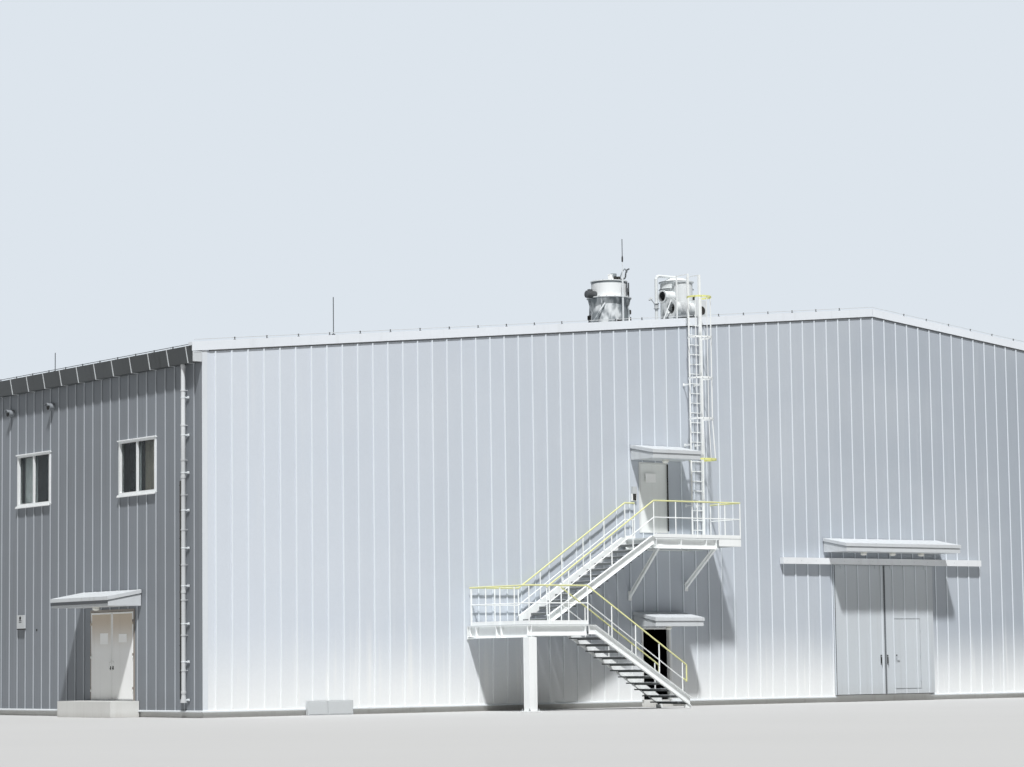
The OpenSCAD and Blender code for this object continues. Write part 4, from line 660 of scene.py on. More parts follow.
@dataclass
class Stand:
    """Camera at the photograph's angle, soft light and a pale floor."""

    eye: Point = (-31.232, -41.178, 0.653)
    yaw: float = 37.025
    pitch: float = 5.581
    roll: float = 0.731
    lens: float = 99.68
    sensor: float = 36.0
    shift_y: float = 0.00275
    far: float = 1000.0
    floor_size: float = 400.0
    floor_drop: float = 0.002
    floor_tones: tuple[Tone, Tone] = ((186, 186, 185), (188, 188, 187))
    floor_rough: float = 0.9
    key_angle: float = 0.06
    key_power: float = 4.4
    key_from: Point = (-0.68, -1.0, 2.0)
    sky: float = 0.09
    backdrop: Tone = (221, 229, 237)

    def camera(self) -> None:
        """Place the camera and make it the scene's own."""
        yaw, pitch, roll = (math.radians(a) for a in (self.yaw, self.pitch, self.roll))
        ahead = Vector((math.sin(yaw) * math.cos(pitch), math.cos(yaw) * math.cos(pitch), math.sin(pitch)))
        right = Vector((math.cos(yaw), -math.sin(yaw), 0.0))
        down = ahead.cross(right)
        across = right * math.cos(roll) + down * math.sin(roll)
        under = down * math.cos(roll) - right * math.sin(roll)
        data = bpy.data.cameras.new("photo_camera")
        data.sensor_width = self.sensor
        data.lens = self.lens
        data.shift_y = self.shift_y
        data.clip_end = self.far
        held = bpy.data.objects.new("photo_camera", data)
        turn = Matrix((across, -under, -ahead)).transposed()
        held.matrix_world = Matrix.Translation(self.eye) @ turn.to_4x4()
        bpy.context.collection.objects.link(held)
        bpy.context.scene.camera = held

    def light(self) -> None:
        """Add one soft key lamp and an even sky that the camera sees as a pale backdrop."""
        lamp = bpy.data.lights.new("key", "SUN")
        lamp.energy = self.key_power
        lamp.angle = self.key_angle
        held = bpy.data.objects.new("key", lamp)
        held.rotation_euler = Vector(self.key_from).to_track_quat("Z", "Y").to_euler()
        bpy.context.collection.objects.link(held)
        world = bpy.data.worlds.new("studio")
        bpy.context.scene.world = world
        world.use_nodes = True
        graph = Graph(world.node_tree)
        ray = graph.node("ShaderNodeLightPath").outputs
        mirrored = graph.maths("MAXIMUM", ray["Is Glossy Ray"], ray["Is Transmission Ray"])
        seen = graph.maths("MAXIMUM", ray["Is Camera Ray"], mirrored)
        background = world.node_tree.nodes["Background"]
        strength = graph.add(self.sky, graph.times(seen, 1.0 - self.sky))
        graph.feed(background.inputs["Strength"], strength)
        graph.feed(background.inputs["Color"], graph.blend(seen, (1.0, 1.0, 1.0, 1.0), linear(self.backdrop)))

    def floor(self) -> None:
        """Lay the pale floor that the building stands on."""
        deselect()
        bpy.ops.mesh.primitive_grid_add(x_subdivisions=8, y_subdivisions=8, size=self.floor_size,
                                        location=(0.0, 0.0, -self.floor_drop))
        ground = bpy.context.object
        ground.name = "studio_floor"
        material, graph, shader = blank_material("pale_floor")
        cloud = graph.ramp(graph.noise(graph.place(), (0.2, 0.2, 0.2), 3.0), 0.3, 0.7)
        tones = [linear(tone) for tone in self.floor_tones]
        graph.feed(shader.inputs["Base Color"], graph.blend(cloud, *tones))
        shader.inputs["Roughness"].default_value = self.floor_rough
        ground.data.materials.append(material)


def deselect() -> None:
    """Leave edit mode and clear the selection."""
    if bpy.context.object and bpy.context.object.mode != "OBJECT":
        bpy.ops.object.mode_set(mode="OBJECT")
    bpy.ops.object.select_all(action="DESELECT")


def open_mesh(thing: Thing, mode: str = "VERT") -> None:
    """Enter edit mode on one object with all of it selected.

    Args:
        thing: the object.
        mode: what is selected, VERT, EDGE or FACE.
    """
    deselect()
    thing.select_set(True)
    bpy.context.view_layer.objects.active = thing
    bpy.ops.object.mode_set(mode="EDIT")
    bpy.ops.mesh.select_mode(type=mode)
    bpy.ops.mesh.select_all(action="SELECT")


def close_mesh() -> None:
    """Leave edit mode."""
    bpy.ops.object.mode_set(mode="OBJECT")


def pick_faces(thing: Thing, wanted: Callable[[bpy.types.MeshPolygon], bool]) -> None:
    """Enter edit mode with only the faces selected that a test wants.

    Args:
        thing: the object.
        wanted: test that a face has to pass.
    """
    open_mesh(thing, "FACE")
    bpy.ops.mesh.select_all(action="DESELECT")
    close_mesh()
    for face in thing.data.polygons:
        face.select = wanted(face)
    bpy.ops.object.mode_set(mode="EDIT")


def even(half: float) -> Span:
    """Give the span that reaches equally far to both sides of zero."""
    return (-half, half)


def block(across: Span, deep: Span, up: Span, ease: float = 0.002, steps: int = 1) -> Thing:
    """Model a box with eased edges.

    Args:
        across: its low and high place on x.
        deep: its low and high place on y.
        up: its low and high place on z.
        ease: width of the eased edges.
        steps: segments of the eased edges.

    Returns:
        The new object.
    """
    deselect()
    bpy.ops.mesh.primitive_cube_add(size=1.0)
    made = bpy.context.object
    sizes = [b - a for a, b in (across, deep, up)]
    made.scale = sizes
    made.location = [(a + b) / 2 for a, b in (across, deep, up)]
    bpy.ops.object.transform_apply(location=True, rotation=True, scale=True)
    open_mesh(made, "EDGE")
    bpy.ops.mesh.bevel(offset=min(ease, 0.4 * min(sizes)), segments=steps, affect="EDGES")
    close_mesh()
    return made


def turned(rings: Rings, sides: int = 16) -> Thing:
    """Model a body of revolution about Z by drawing a disc out from ring to ring.

    Args:
        rings: height and radius of each ring, from one end to the other.
        sides: corners of each ring.

    Returns:
        The new object, its axis on Z.
    """
    deselect()
    height, radius = rings[0]
    bpy.ops.mesh.primitive_circle_add(vertices=sides, radius=radius, fill_type="NGON")
    made = bpy.context.object
    open_mesh(made, "FACE")
    bpy.ops.transform.translate(value=(0.0, 0.0, height))
    for next_height, next_radius in rings[1:]:
        rise = (0.0, 0.0, next_height - height)
        bpy.ops.mesh.extrude_region_move(TRANSFORM_OT_translate={"value": rise})
        factor = next_radius / radius
        bpy.ops.transform.resize(value=(factor, factor, 1.0), center_override=(0.0, 0.0, next_height))
        height, radius = next_height, next_radius
    close_mesh()
    return made


def aimed(start: Point, end: Point) -> Matrix:
    """Give the matrix that lays the Z axis from one point towards another."""
    run = Vector(end) - Vector(start)
    return Matrix.Translation(start) @ run.to_track_quat("Z", "Y").to_matrix().to_4x4()


def moved(x: float = 0.0, y: float = 0.0, z: float = 0.0) -> Matrix:
    """Give a shift as a matrix."""
    return Matrix.Translation((x, y, z))


def spun(degrees: float, about: str) -> Matrix:
    """Give a turn about a named axis as a matrix."""
    return Matrix.Rotation(math.radians(degrees), 4, about)


def bar(start: Point, end: Point, radius: float, sides: int = 10) -> Thing:
    """Model a round bar with eased ends between two points.

    Args:
        start: middle of one end.
        end: middle of the other end.
        radius: its radius.
        sides: corners of its section.

    Returns:
        The new object.
    """
    long = (Vector(end) - Vector(start)).length
    ease = min(radius * 0.4, long * 0.2)
    made = turned([(0.0, radius - ease), (ease, radius), (long - ease, radius), (long, radius - ease)], sides)
    return copies(made, [aimed(start, end)])


def flat(start: Point, end: Point, width: float, thick: float, face: Point = (0.0, 1.0, 0.0)) -> Thing:
    """Model a flat bar between two points.

    Args:
        start: middle of one end.
        end: middle of the other end.
        width: its width.
        thick: its thickness along the face direction.
        face: direction that its broad side looks in.

    Returns:
        The new object.
    """
    run = Vector(end) - Vector(start)
    along = run.normalized()
    out = (Vector(face) - along * Vector(face).dot(along)).normalized()
    side = along.cross(out)
    made = block(even(width / 2), even(thick / 2), (0.0, run.length), 0.15 * thick)
    turn = Matrix((side, out, along)).transposed().to_4x4()
    return copies(made, [Matrix.Translation(start) @ turn])


def bent(points: Sequence[Point], radius: float, sides: int = 2) -> Thing:
    """Model a bent pipe from a curve with a round section, turned into a mesh.

    Args:
        points: places that the pipe runs through.
        radius: radius of the pipe.
        sides: fineness of the round section.

    Returns:
        The new object.
    """
    deselect()
    curve = bpy.data.curves.new("bend", "CURVE")
    curve.dimensions = "3D"
    curve.bevel_depth = radius
    curve.bevel_resolution = sides
    curve.resolution_u = 6
    curve.use_fill_caps = True
    line = curve.splines.new("NURBS")
    line.points.add(len(points) - 1)
    for spot, point in zip(line.points, points):
        spot.co = (*point, 1.0)
    line.use_endpoint_u = True
    line.order_u = 3
    made = bpy.data.objects.new("bend", curve)
    bpy.context.collection.objects.link(made)
    made.select_set(True)
    bpy.context.view_layer.objects.active = made
    bpy.ops.object.convert(target="MESH")
    return bpy.context.object


def framed(across: Span, deep: Span, up: Span, rim: float, ease: float = 0.0015) -> Thing:
    """Model a rectangular frame in the plane across its thinnest side, by inset and bridge.

    Args:
        across: low and high place of the outside on x.
        deep: low and high place on y.
        up: low and high place of the outside on z.
        rim: width of the bars.
        ease: width of the eased edges.

    Returns:
        The new object.
    """
    sizes = [b - a for a, b in (across, deep, up)]
    thin = sizes.index(min(sizes))
    made = block(across, deep, up, 0.0)
    pick_faces(made, lambda face: abs(face.normal[thin]) > 0.9)
    bpy.ops.mesh.inset(thickness=rim, use_individual=True)
    bpy.ops.mesh.bridge_edge_loops()
    close_mesh()
    open_mesh(made, "EDGE")
    bpy.ops.mesh.bevel(offset=min(ease, 0.3 * sizes[thin]), segments=1, affect="EDGES")
    close_mesh()
    return made


def joined(parts: Sequence[Thing]) -> Thing:
    """Set the given objects' transforms into their meshes and join them into one.

    Args:
        parts: the objects.

    Returns:
        The joined object.
    """
    deselect()
    for part in parts:
        part.select_set(True)
    bpy.context.view_layer.objects.active = parts[0]
    bpy.ops.object.transform_apply(location=True, rotation=True, scale=True)
    if len(parts) > 1:
        bpy.ops.object.join()
    return bpy.context.object


def copies(master: Thing, places: Iterable[Matrix]) -> Thing:
    """Copy a modelled piece to every place, each with its own mesh, and join the copies.

    Args:
        master: the piece, which is used up.
        places: matrices that lay a copy out.

    Returns:
        The joined copies.
    """
    made = []
    for place in places:
        twin = master.copy()
        twin.data = master.data.copy()
        twin.matrix_world = place @ master.matrix_world
        bpy.context.collection.objects.link(twin)
        made.append(twin)
    bpy.data.objects.remove(master)
    return joined(made)


def bolt(radius: float, high: float) -> Thing:
    """Model a six-sided bolt head on its washer, standing on Z = 0.

    Args:
        radius: radius of the head.
        high: height of the head.

    Returns:
        The new object.
    """
    washer = turned([(0.0, radius * 1.5), (high * 0.25, radius * 1.5)], 10)
    head = turned([(high * 0.2, radius), (high * 0.85, radius), (high, radius * 0.8)], 6)
    return joined([washer, head])


def settle(thing: Thing, name: str, finish: str, body: str = ROOT) -> Thing:
    """Finish a new piece: sound normals, smooth shading, material, slot and the body that it rides on.

    Args:
        thing: the modelled object.
        name: name of the piece.
        finish: name of its finish.
        body: CAD body that carries it.

    Returns:
        The same object.
    """
    open_mesh(thing)
    bpy.ops.mesh.normals_make_consistent(inside=False)
    close_mesh()
    thing.name = name
    thing.data.name = name
    bpy.ops.object.shade_smooth_by_angle(angle=math.radians(SMOOTH_ANGLE))
    thing.data.materials.clear()
    thing.data.materials.append(paint_of(finish))
    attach(thing, body)
    LOG.info("%s: %d faces in %s on %s", name, len(thing.data.polygons), finish, body)
    return thing


@dataclass(frozen=True)
class Shell:
    """Main sizes of the hall that the small pieces are placed by.

    Args:
        half_w: half the building's width across the gable.
        half_d: half its depth.
        eave: height of the roof's underside at the side walls.
        pitch: rise of the roof for each metre.
        roof_rise: thickness of the roof measured straight up.
        rib: how far the wall ribs stand out.
        wall: thickness of a wall.
    """

    half_w: float = 12.2
    half_d: float = 9.2
    eave: float = 4.81
    pitch: float = 0.1
    roof_rise: float = 0.0603
    rib: float = 0.012
    wall: float = 0.05

    def under(self, x: float) -> float:
        """Give the height of the roof's underside at a place across the building."""
        return self.eave + self.pitch * (self.half_w - abs(x))

    def top(self, x: float) -> float:
        """Give the height of the roof's upper face at a place across the building."""
        return self.under(x) + self.roof_rise

    @property
    def slope(self) -> float:
        """Angle of the roof in degrees."""
        return math.degrees(math.atan(self.pitch))


HALL = Shell()
# Each wall seen from outside: x to the right, y into the building, z up
FRONT = moved(y=-HALL.half_d)
REAR = moved(y=HALL.half_d) @ spun(180.0, "Z")
LEFT = moved(x=-HALL.half_w) @ spun(-90.0, "Z")
RIGHT = moved(x=HALL.half_w) @ spun(90.0, "Z")
MIRROR = Matrix.Scale(-1.0, 4, (1.0, 0.0, 0.0))
HANDS = (Matrix.Identity(4), MIRROR)
HALF_GABLES = (FRONT, FRONT @ MIRROR, REAR, REAR @ MIRROR)
# These turn a piece that stands on Z so that it stands out from a wall, or lies along the wall
OUTWARD = spun(90.0, "X")
SIDEWAYS = spun(90.0, "Y")
# Depth that a fitted piece is let into what carries it
SINK = 0.001
# Foot plate of a roof brace: half its side, and its low and high face
ROOF_PLATE = (0.036, (-0.001, 0.009))


def on_slope(x: float, y: float, z: float) -> Matrix:
    """Give a place on the left roof slope, tilted as the roof is."""
    return moved(x, y, z) @ spun(-HALL.slope, "Y")


def roof_plate() -> Thing:
    """Model the foot plate of a brace that stands on the roof."""
    half, up = ROOF_PLATE
    return block(even(half), even(half), up, 0.002)


@dataclass
class WallFoot:
    """Drip strip along the foot of every wall, open at the doors and boxes."""

    up: Span = (0.07, 0.094)
    reach: float = 0.022
    lip: float = 0.008
    lip_half: float = 0.003
    lip_drop: float = 0.006
    front: tuple = ((-12.222, -10.63), (-9.89, -4.83), (-4.25, -0.95), (1.09, 12.222))
    left: tuple = ((-9.2, 6.06), (7.56, 9.2))
    right: tuple = ((-9.2, 9.2),)
    rear: tuple = ((-12.222, 12.222),)

    def strip(self, run: Span) -> Thing:
        """Model one strip with its turned-down lip in wall coordinates.

        Args:
            run: where it starts and ends along the wall.

        Returns:
            The new object.
        """
        low, high = self.up
        body = block(run, (-self.reach, 0.0), (low + self.lip, high), 0.004)
        lip = block(run, (-self.reach - self.lip_half, -self.reach + self.lip_half),
                    (low, high - self.lip_drop), 0.0015)
        return joined([body, lip])

    def build(self) -> None:
        """Model the strips of all four walls as one piece."""
        walls = ((FRONT, self.front), (LEFT, self.left), (RIGHT, self.right), (REAR, self.rear))
        parts = [copies(self.strip(run), [wall]) for wall, runs in walls for run in runs]
        settle(joined(parts), "wall_foot_strips", "strap_white")


@dataclass
class RakeEdge:
    """Painted shadow strip under the trim, lap plates and conductor on the sloping roof edges of both gables.
    """

    # Width, depth and start of the dark strip under the trim, a painted shadow
    joint: float = 0.020
    shadow_strip_deep: float = 0.0134
    shadow_strip_from: float = -12.1
    trim_low: float = 0.015
    trim_out: float = 0.018
    trim_up: float = 0.105
    laps: tuple = (-10.5, -7.5, -4.5, -1.5)
    lap_w: float = 0.06
    lap_back: float = 0.082
    lap_proud: float = 0.0025
    lap_bed: float = 0.0005
    lap_ease: float = 0.0008
    clamp_pitch: float = 0.5
    clamps: int = 24
    clamp_half: float = 0.013
    wire_line: float = -0.004
    wire_up: float = 0.030
    wire_r: float = 0.0045
    wire_past: float = 0.12

    def joints(self) -> None:
        """Model the dark strip under the edge trim, a painted shadow where the trim overhangs the sheet."""
        down = self.trim_low + self.joint / 2
        ends = [(x, -self.shadow_strip_deep / 2, HALL.under(x) - down) for x in (self.shadow_strip_from, 0.0)]
        strip = flat(*ends, self.joint, self.shadow_strip_deep)
        settle(copies(strip, HALF_GABLES), "rake_shadow_strips", "shadow_grey")

    def lap_plates(self) -> None:
        """Model the plates that cover the trim's joints."""
        across = even(self.lap_w / 2)
        front = -self.trim_out - self.lap_proud
        face = block(across, (front, -self.trim_out + self.lap_bed),
                     (-self.trim_low - 0.001, self.trim_up + 0.0015), self.lap_ease)
        cap = block(across, (front, self.lap_back),
                    (self.trim_up - self.lap_bed, self.trim_up + 0.002), self.lap_ease)
        spots = [on_slope(x, 0.0, HALL.under(x)) for x in self.laps]
        settle(copies(joined([face, cap]), [wall @ spot for wall in HALF_GABLES for spot in spots]),
               "rake_lap_plates", "white_trim")

    def conductor(self) -> None:
        """Model the round conductor and its clamps on the trim's upper edge."""
        base = block(even(self.clamp_half), even(self.clamp_half), (-0.001, 0.006), 0.002)
        stem = turned([(0.004, 0.007), (self.wire_up - 0.008, 0.006), (self.wire_up - 0.006, 0.010),
                       (self.wire_up + 0.006, 0.010), (self.wire_up + 0.009, 0.006)], 8)
        lines = [-HALL.half_w + self.clamp_pitch * k for k in range(1, self.clamps)]
        spots = [on_slope(x, self.wire_line, HALL.under(x) + self.trim_up) for x in lines]
        clamps = copies(joined([base, stem]), [wall @ spot for wall in HALF_GABLES for spot in spots])
        ends = [(x, self.wire_line, HALL.under(x) + self.trim_up + self.wire_up)
                for x in (-HALL.half_w - self.wire_past, 0.0)]
        wire = copies(bar(*ends, self.wire_r, 6), HALF_GABLES)
        settle(clamps, "rake_conductor_clamps", "shadow_grey")
        settle(wire, "rake_conductor", "canopy_sheet")

    def build(self) -> None:
        """Model all pieces of the sloping edges."""
        self.joints()
        self.lap_plates()
        self.conductor()


@dataclass
class Rainwater:
    """End caps and eave conductor at the gutters; lugs, sleeves, and dark cables that stand in for a painted
    reflection, on the downpipes.
    """

    cap_out: float = 0.0045
    cap_rim: float = 0.012
    cap_line: float = -0.0125
    gutter_deep: Span = (0.0125, 0.1515)
    gutter_up: Span = (4.641, 4.776)
    eave_line: float = 0.055
    eave_first: float = -7.04
    eave_before: int = 4
    eave_pitch: float = 0.5
    eave_inset: float = 0.03
    eave_wire_up: float = 0.031
    eave_wire_r: float = 0.0045
    eave_stem: Rings = ((-0.001, 0.012), (0.005, 0.012), (0.007, 0.007), (0.024, 0.007), (0.026, 0.011),
                        (0.036, 0.011), (0.039, 0.007))
    pipe_lines: tuple = (8.815, 3.13, -3.13, -8.815)
    pipe_out: float = 0.062
    pipe_r: float = 0.030
    pipe_bed: float = 0.0005
    lug_gap: float = 0.055
    lug_top: float = 4.2
    lug_pitch: float = 0.496
    lugs: int = 9
    lug_plate: Span = (-0.032, 0.020)
    lug_arm: Span = (-0.056, -0.026)
    band_proud: float = 0.004
    sleeve_proud: float = 0.005
    sleeves: tuple = (0.31, 1.62, 3.13, 4.60)
    # Dark cable beside each downpipe, a painted reflection of the glossy pipe
    reflection_cable_r: float = 0.010
    reflection_cable_gap: float = 0.018
    reflection_cable_out: float = 0.035
    reflection_cable_span: Span = (0.24, 3.10)
    strap_pitch: float = 0.35

    def caps(self) -> None:
        """Model the plates that close the gutters, with a raised rim."""
        plate = block(self.gutter_deep, (-self.cap_out, 0.0), self.gutter_up, 0.001)
        rim = framed(self.gutter_deep, (-self.cap_out - 0.003, -self.cap_out + SINK), self.gutter_up,
                     self.cap_rim)
        cap = copies(joined([plate, rim]), [moved(x=HALL.half_w, y=self.cap_line)])
        settle(copies(cap, HALF_GABLES), "gutter_end_caps", "canopy_sheet")

    def eave_conductor(self) -> None:
        """Model the conductor on both eaves with its clamps."""
        foot = HALL.top(HALL.half_w + self.eave_line)
        count = int((HALL.half_d - self.eave_first) // self.eave_pitch)
        lines = [self.eave_first + self.eave_pitch * k for k in range(-self.eave_before, count)]
        clamps = copies(turned(self.eave_stem, 8), [
            wall @ moved(-sign * y, -self.eave_line, foot)
            for wall, sign in ((LEFT, 1.0), (RIGHT, -1.0)) for y in lines])
        ends = [(x, -self.eave_line, foot + self.eave_wire_up)
                for x in (-HALL.half_d + self.eave_inset, HALL.half_d - self.eave_inset)]
        wire = copies(bar(*ends, self.eave_wire_r, 6), [LEFT, RIGHT])
        settle(joined([clamps, wire]), "eave_conductors", "shadow_grey")

    def lug(self) -> Thing:
        """Model one wall lug with its bolt, in wall coordinates about its own middle.

        Returns:
            The new object.
        """
        plate = block(self.lug_plate, (-HALL.rib - 0.008, -HALL.rib + SINK), even(0.016), 0.002)
        arm = block(self.lug_arm, (-self.pipe_out + 0.016, -HALL.rib - 0.004), even(0.008), 0.002)
        inner = self.pipe_r + self.pipe_bed
        outer = self.pipe_r + self.band_proud
        ring = turned([(-0.008, inner), (-0.007, outer), (0.007, outer), (0.008, inner)], 16)
        band = copies(ring, [moved(-self.lug_gap, -self.pipe_out)])
        head = copies(bolt(0.009, 0.012), [moved(y=-HALL.rib - 0.006) @ OUTWARD])
        return joined([plate, arm, band, head])

    def pipe_fixings(self) -> None:
        """Model the lugs beside every downpipe, on the side of the nearer corner."""
        heights = [self.lug_top - self.lug_pitch * k for k in range(self.lugs)]
        spots = []
        for wall in (LEFT, RIGHT):
            for line in self.pipe_lines:
                side = line + math.copysign(self.lug_gap, line)
                spots += [wall @ moved(side, 0.0, z) @ HANDS[line < 0] for z in heights]
        settle(copies(self.lug(), spots), "downpipe_lugs", "strap_white")

    def pipe_sleeves(self) -> None:
        """Model the joint sleeves and the foot collar of every downpipe."""
        inner = self.pipe_r + self.pipe_bed
        outer = self.pipe_r + self.sleeve_proud
        ring = turned([(0.0, inner), (0.003, outer), (0.034, outer), (0.037, inner)], 20)
        spots = [wall @ moved(line, -self.pipe_out, z)
                 for wall in (LEFT, RIGHT) for line in self.pipe_lines for z in self.sleeves]
        settle(copies(ring, spots), "downpipe_sleeves", "pipe_grey")

    def pipe_reflection_cables(self) -> None:
        """Model the dark cable strapped to the outer side of every downpipe, a painted dark reflection along
        the pipe.
        """
        low, high = self.reflection_cable_span
        out = self.pipe_out + self.reflection_cable_out
        wire = bar((0.0, -out, low), (0.0, -out, high), self.reflection_cable_r, 8)
        strap = block(even(0.011), (-out - self.reflection_cable_r - SINK, -out + 0.002), even(0.006), 0.001)
        count = int((high - low) / self.strap_pitch)
        straps = copies(strap, [moved(z=low + self.strap_pitch * k) for k in range(1, count + 1)])
        spots = [wall @ moved(line - math.copysign(self.reflection_cable_gap, line))
                 for wall in (LEFT, RIGHT) for line in self.pipe_lines]
        settle(copies(joined([wire, straps]), spots), "downpipe_reflection_cables", "dark_rubber")

    def build(self) -> None:
        """Model all rainwater pieces."""
        self.caps()
        self.eave_conductor()
        self.pipe_fixings()
        self.pipe_sleeves()
        self.pipe_reflection_cables()


@dataclass
class Windows:
    """Head drips, sills, seals, catches, slats, and rails with black boards of painted shade behind the
    slats, of the twelve sliding windows.
    """

    centres: tuple = (-7.5, -4.5, -1.5, 1.5, 4.5, 7.5)
    half: float = 0.505
    sill: float = 3.0
    high: float = 0.75
    trim_past: float = 0.009
    pane: Span = (0.019, 0.467)
    pane_up: Span = (3.038, 3.712)
    front_depth: float = 0.0125
    rear_depth: float = 0.025
    seal_w: float = 0.006
    slat_w: float = 0.042
    slat_t: float = 0.002
    slat_gap: float = 0.052
    slat_turn: float = 18.0
    slat_swing: float = 9.0
    blind_depth: float = 0.11
    starts: Span = (-0.45, 0.05)
    drawn: tuple = ((0, 3), (1, 6), (0, 8), (1, 4), (0, 7), (1, 8))
    kinds: tuple = (("window_blinds", "blind_cloth"), ("window_curtains", "curtain_brown"))

    def everywhere(self) -> list[Matrix]:
        """Give the places of all windows on both side walls."""
        return [wall @ moved(x=x) for wall in (LEFT, RIGHT @ MIRROR) for x in self.centres]

    def trims(self) -> None:
        """Model the head drip and the sloping sill, each with its nose."""
        top = self.sill + self.high
        across = even(self.half + self.trim_past)
        head = block(across, (-0.036, 0.0), (top - 0.001, top + 0.006), 0.002)
        drip = block(across, (-0.039, -0.034), (top - 0.010, top + 0.003), 0.0015)
        sill = block(across, (-0.042, 0.0), (self.sill - 0.020, self.sill - 0.0005), 0.005, 2)
        nose = block(across, (-0.045, -0.039), (self.sill - 0.026, self.sill - 0.008), 0.0015)
        settle(copies(joined([head, drip, sill, nose]), self.everywhere()), "window_trims", "window_white")

    def seals(self) -> None:
        """Model the dark seals round every pane."""
        parts = []
        low, high = self.pane_up
        for side, depth in ((-1.0, self.rear_depth), (1.0, self.front_depth)):
            start, end = sorted(side * place for place in self.pane)
            parts.append(framed((start - 0.001, end + 0.001), (depth - 0.004, depth + 0.0005),
                                (low - 0.001, high + 0.001), self.seal_w, 0.0008))
        settle(copies(joined(parts), self.everywhere()), "window_seals", "dark_rubber")

    def catches(self) -> None:
        """Model the catch on the meeting bars of every window."""
        middle = sum(self.pane_up) / 2
        plate = block((-0.016, -0.006), (0.004, self.front_depth), (middle - 0.03, middle + 0.03), 0.002)
        lever = block((-0.014, -0.008), (-0.002, 0.006), (middle - 0.012, middle + 0.022), 0.002)
        settle(copies(joined([plate, lever]), self.everywhere()), "window_catches", "bare_steel")

    def slats(self) -> None:
        """Model the upright slats that are drawn across a part of each window, pale or brown."""
        up = (self.sill - 0.01, self.sill + self.high + 0.006)
        for kind, (name, finish) in enumerate(self.kinds):
            spots = []
            for wall in (LEFT, RIGHT @ MIRROR):
                for x, (side, count) in zip(self.centres, self.drawn):
                    if side == kind:
                        start = x + self.starts[side]
                        spots += [wall @ moved(start + k * self.slat_gap, self.blind_depth)
                                  @ spun(self.slat_turn + self.slat_swing * (k % 3), "Z")
                                  for k in range(count)]
            slat = block(even(self.slat_w / 2), even(self.slat_t / 2), up, 0.0006)
            settle(copies(slat, spots), name, finish)

    def screens(self) -> None:
        """Model the rail that the slats hang from and the black board behind them, painted shade that stands
        in for the unlit room.
        """
        top = self.sill + self.high
        behind = self.blind_depth + 0.050
        rail = block(even(self.half), (HALL.wall - SINK, self.blind_depth + 0.062),
                     (top + 0.004, top + 0.034), 0.003)
        # Black board of painted shade where the unlit room would be
        screen = block(even(self.half), (behind, self.blind_depth + 0.056),
                       (self.sill - 0.04, top + 0.006), 0.001)
        settle(copies(joined([rail, screen]), self.everywhere()), "window_room_shades", "room_shade_black")

    def build(self) -> None:
        """Model all window pieces."""
        self.trims()
        self.seals()
        self.catches()
        self.slats()
        self.screens()


@dataclass
class SideDoor:
    """Raised rims, plates, locks and threshold of the double door in the left wall."""

    middle: float = 6.81
    up: Span = (0.226, 1.421)
    half: float = 0.59
    face: float = 0.0115
    rim_in: float = 0.006
    rim_w: float = 0.022
    lock: Span = (0.022, 0.046)
    lock_z: float = 0.66
    knob_x: float = 0.034
    knob: Rings = ((0.0, 0.007), (0.006, 0.009), (0.010, 0.006))
    rear_plate: tuple = ((6.48, 6.70), (0.985, 1.135))
    front_plate: tuple = ((7.0, 7.22), (1.005, 1.12))
    sill: tuple = ((-0.040, 0.012), (0.2155, 0.2200))
    groove: tuple = ((-0.030, -0.024), (0.2195, 0.2208))

    def leaf(self, name: str, hand: Matrix) -> None:
        """Model the raised rim and the lock of one leaf.

        Args:
            name: which leaf, front or rear.
            hand: turn of the leaf's own side.
        """
        body = f"side_door_{name}"
        place = [LEFT @ moved(x=self.middle) @ hand]
        low, high = self.up
        rim = framed((self.rim_in, self.half - self.rim_in), (-self.face - 0.0025, SINK - self.face),
                     (low + 0.004, high - 0.004), self.rim_w)
        settle(copies(rim, place), f"side_{name}_leaf_rim", "door_white", body)
        case = block(self.lock, (-self.face - 0.004, SINK - self.face),
                     (self.lock_z - 0.024, self.lock_z + 0.024), 0.002)
        knob = copies(turned(self.knob, 12),
                      [moved(self.knob_x, -self.face - 0.003, self.lock_z - 0.008) @ OUTWARD])
        settle(copies(joined([case, knob]), place), f"side_{name}_lock", "dark_rubber", body)

    def bare_plate(self, name: str, across: Span, up: Span) -> None:
        """Model the bare plate on one leaf.

        Args:
            name: which leaf, front or rear.
            across: its span along the wall.
            up: its span in height.
        """
        plate = block(across, (-self.face - 0.003, SINK - self.face), up, 0.0012)
        settle(copies(plate, [LEFT]), f"side_{name}_bare_plate", "plate_white", f"side_door_{name}")

    def threshold(self) -> None:
        """Model the threshold under both leaves."""
        across = (self.middle - self.half, self.middle + self.half)
        sill = block(across, *self.sill, 0.002)
        groove = block(across, *self.groove, 0.0005)
        settle(copies(joined([sill, groove]), [LEFT]), "side_door_threshold", "bare_steel")

    def build(self) -> None:
        """Model the fittings of both leaves and the threshold."""
        for name, hand in zip(("front", "rear"), HANDS):
            self.leaf(name, hand)
        self.bare_plate("rear", *self.rear_plate)
        self.bare_plate("front", *self.front_plate)
        self.threshold()


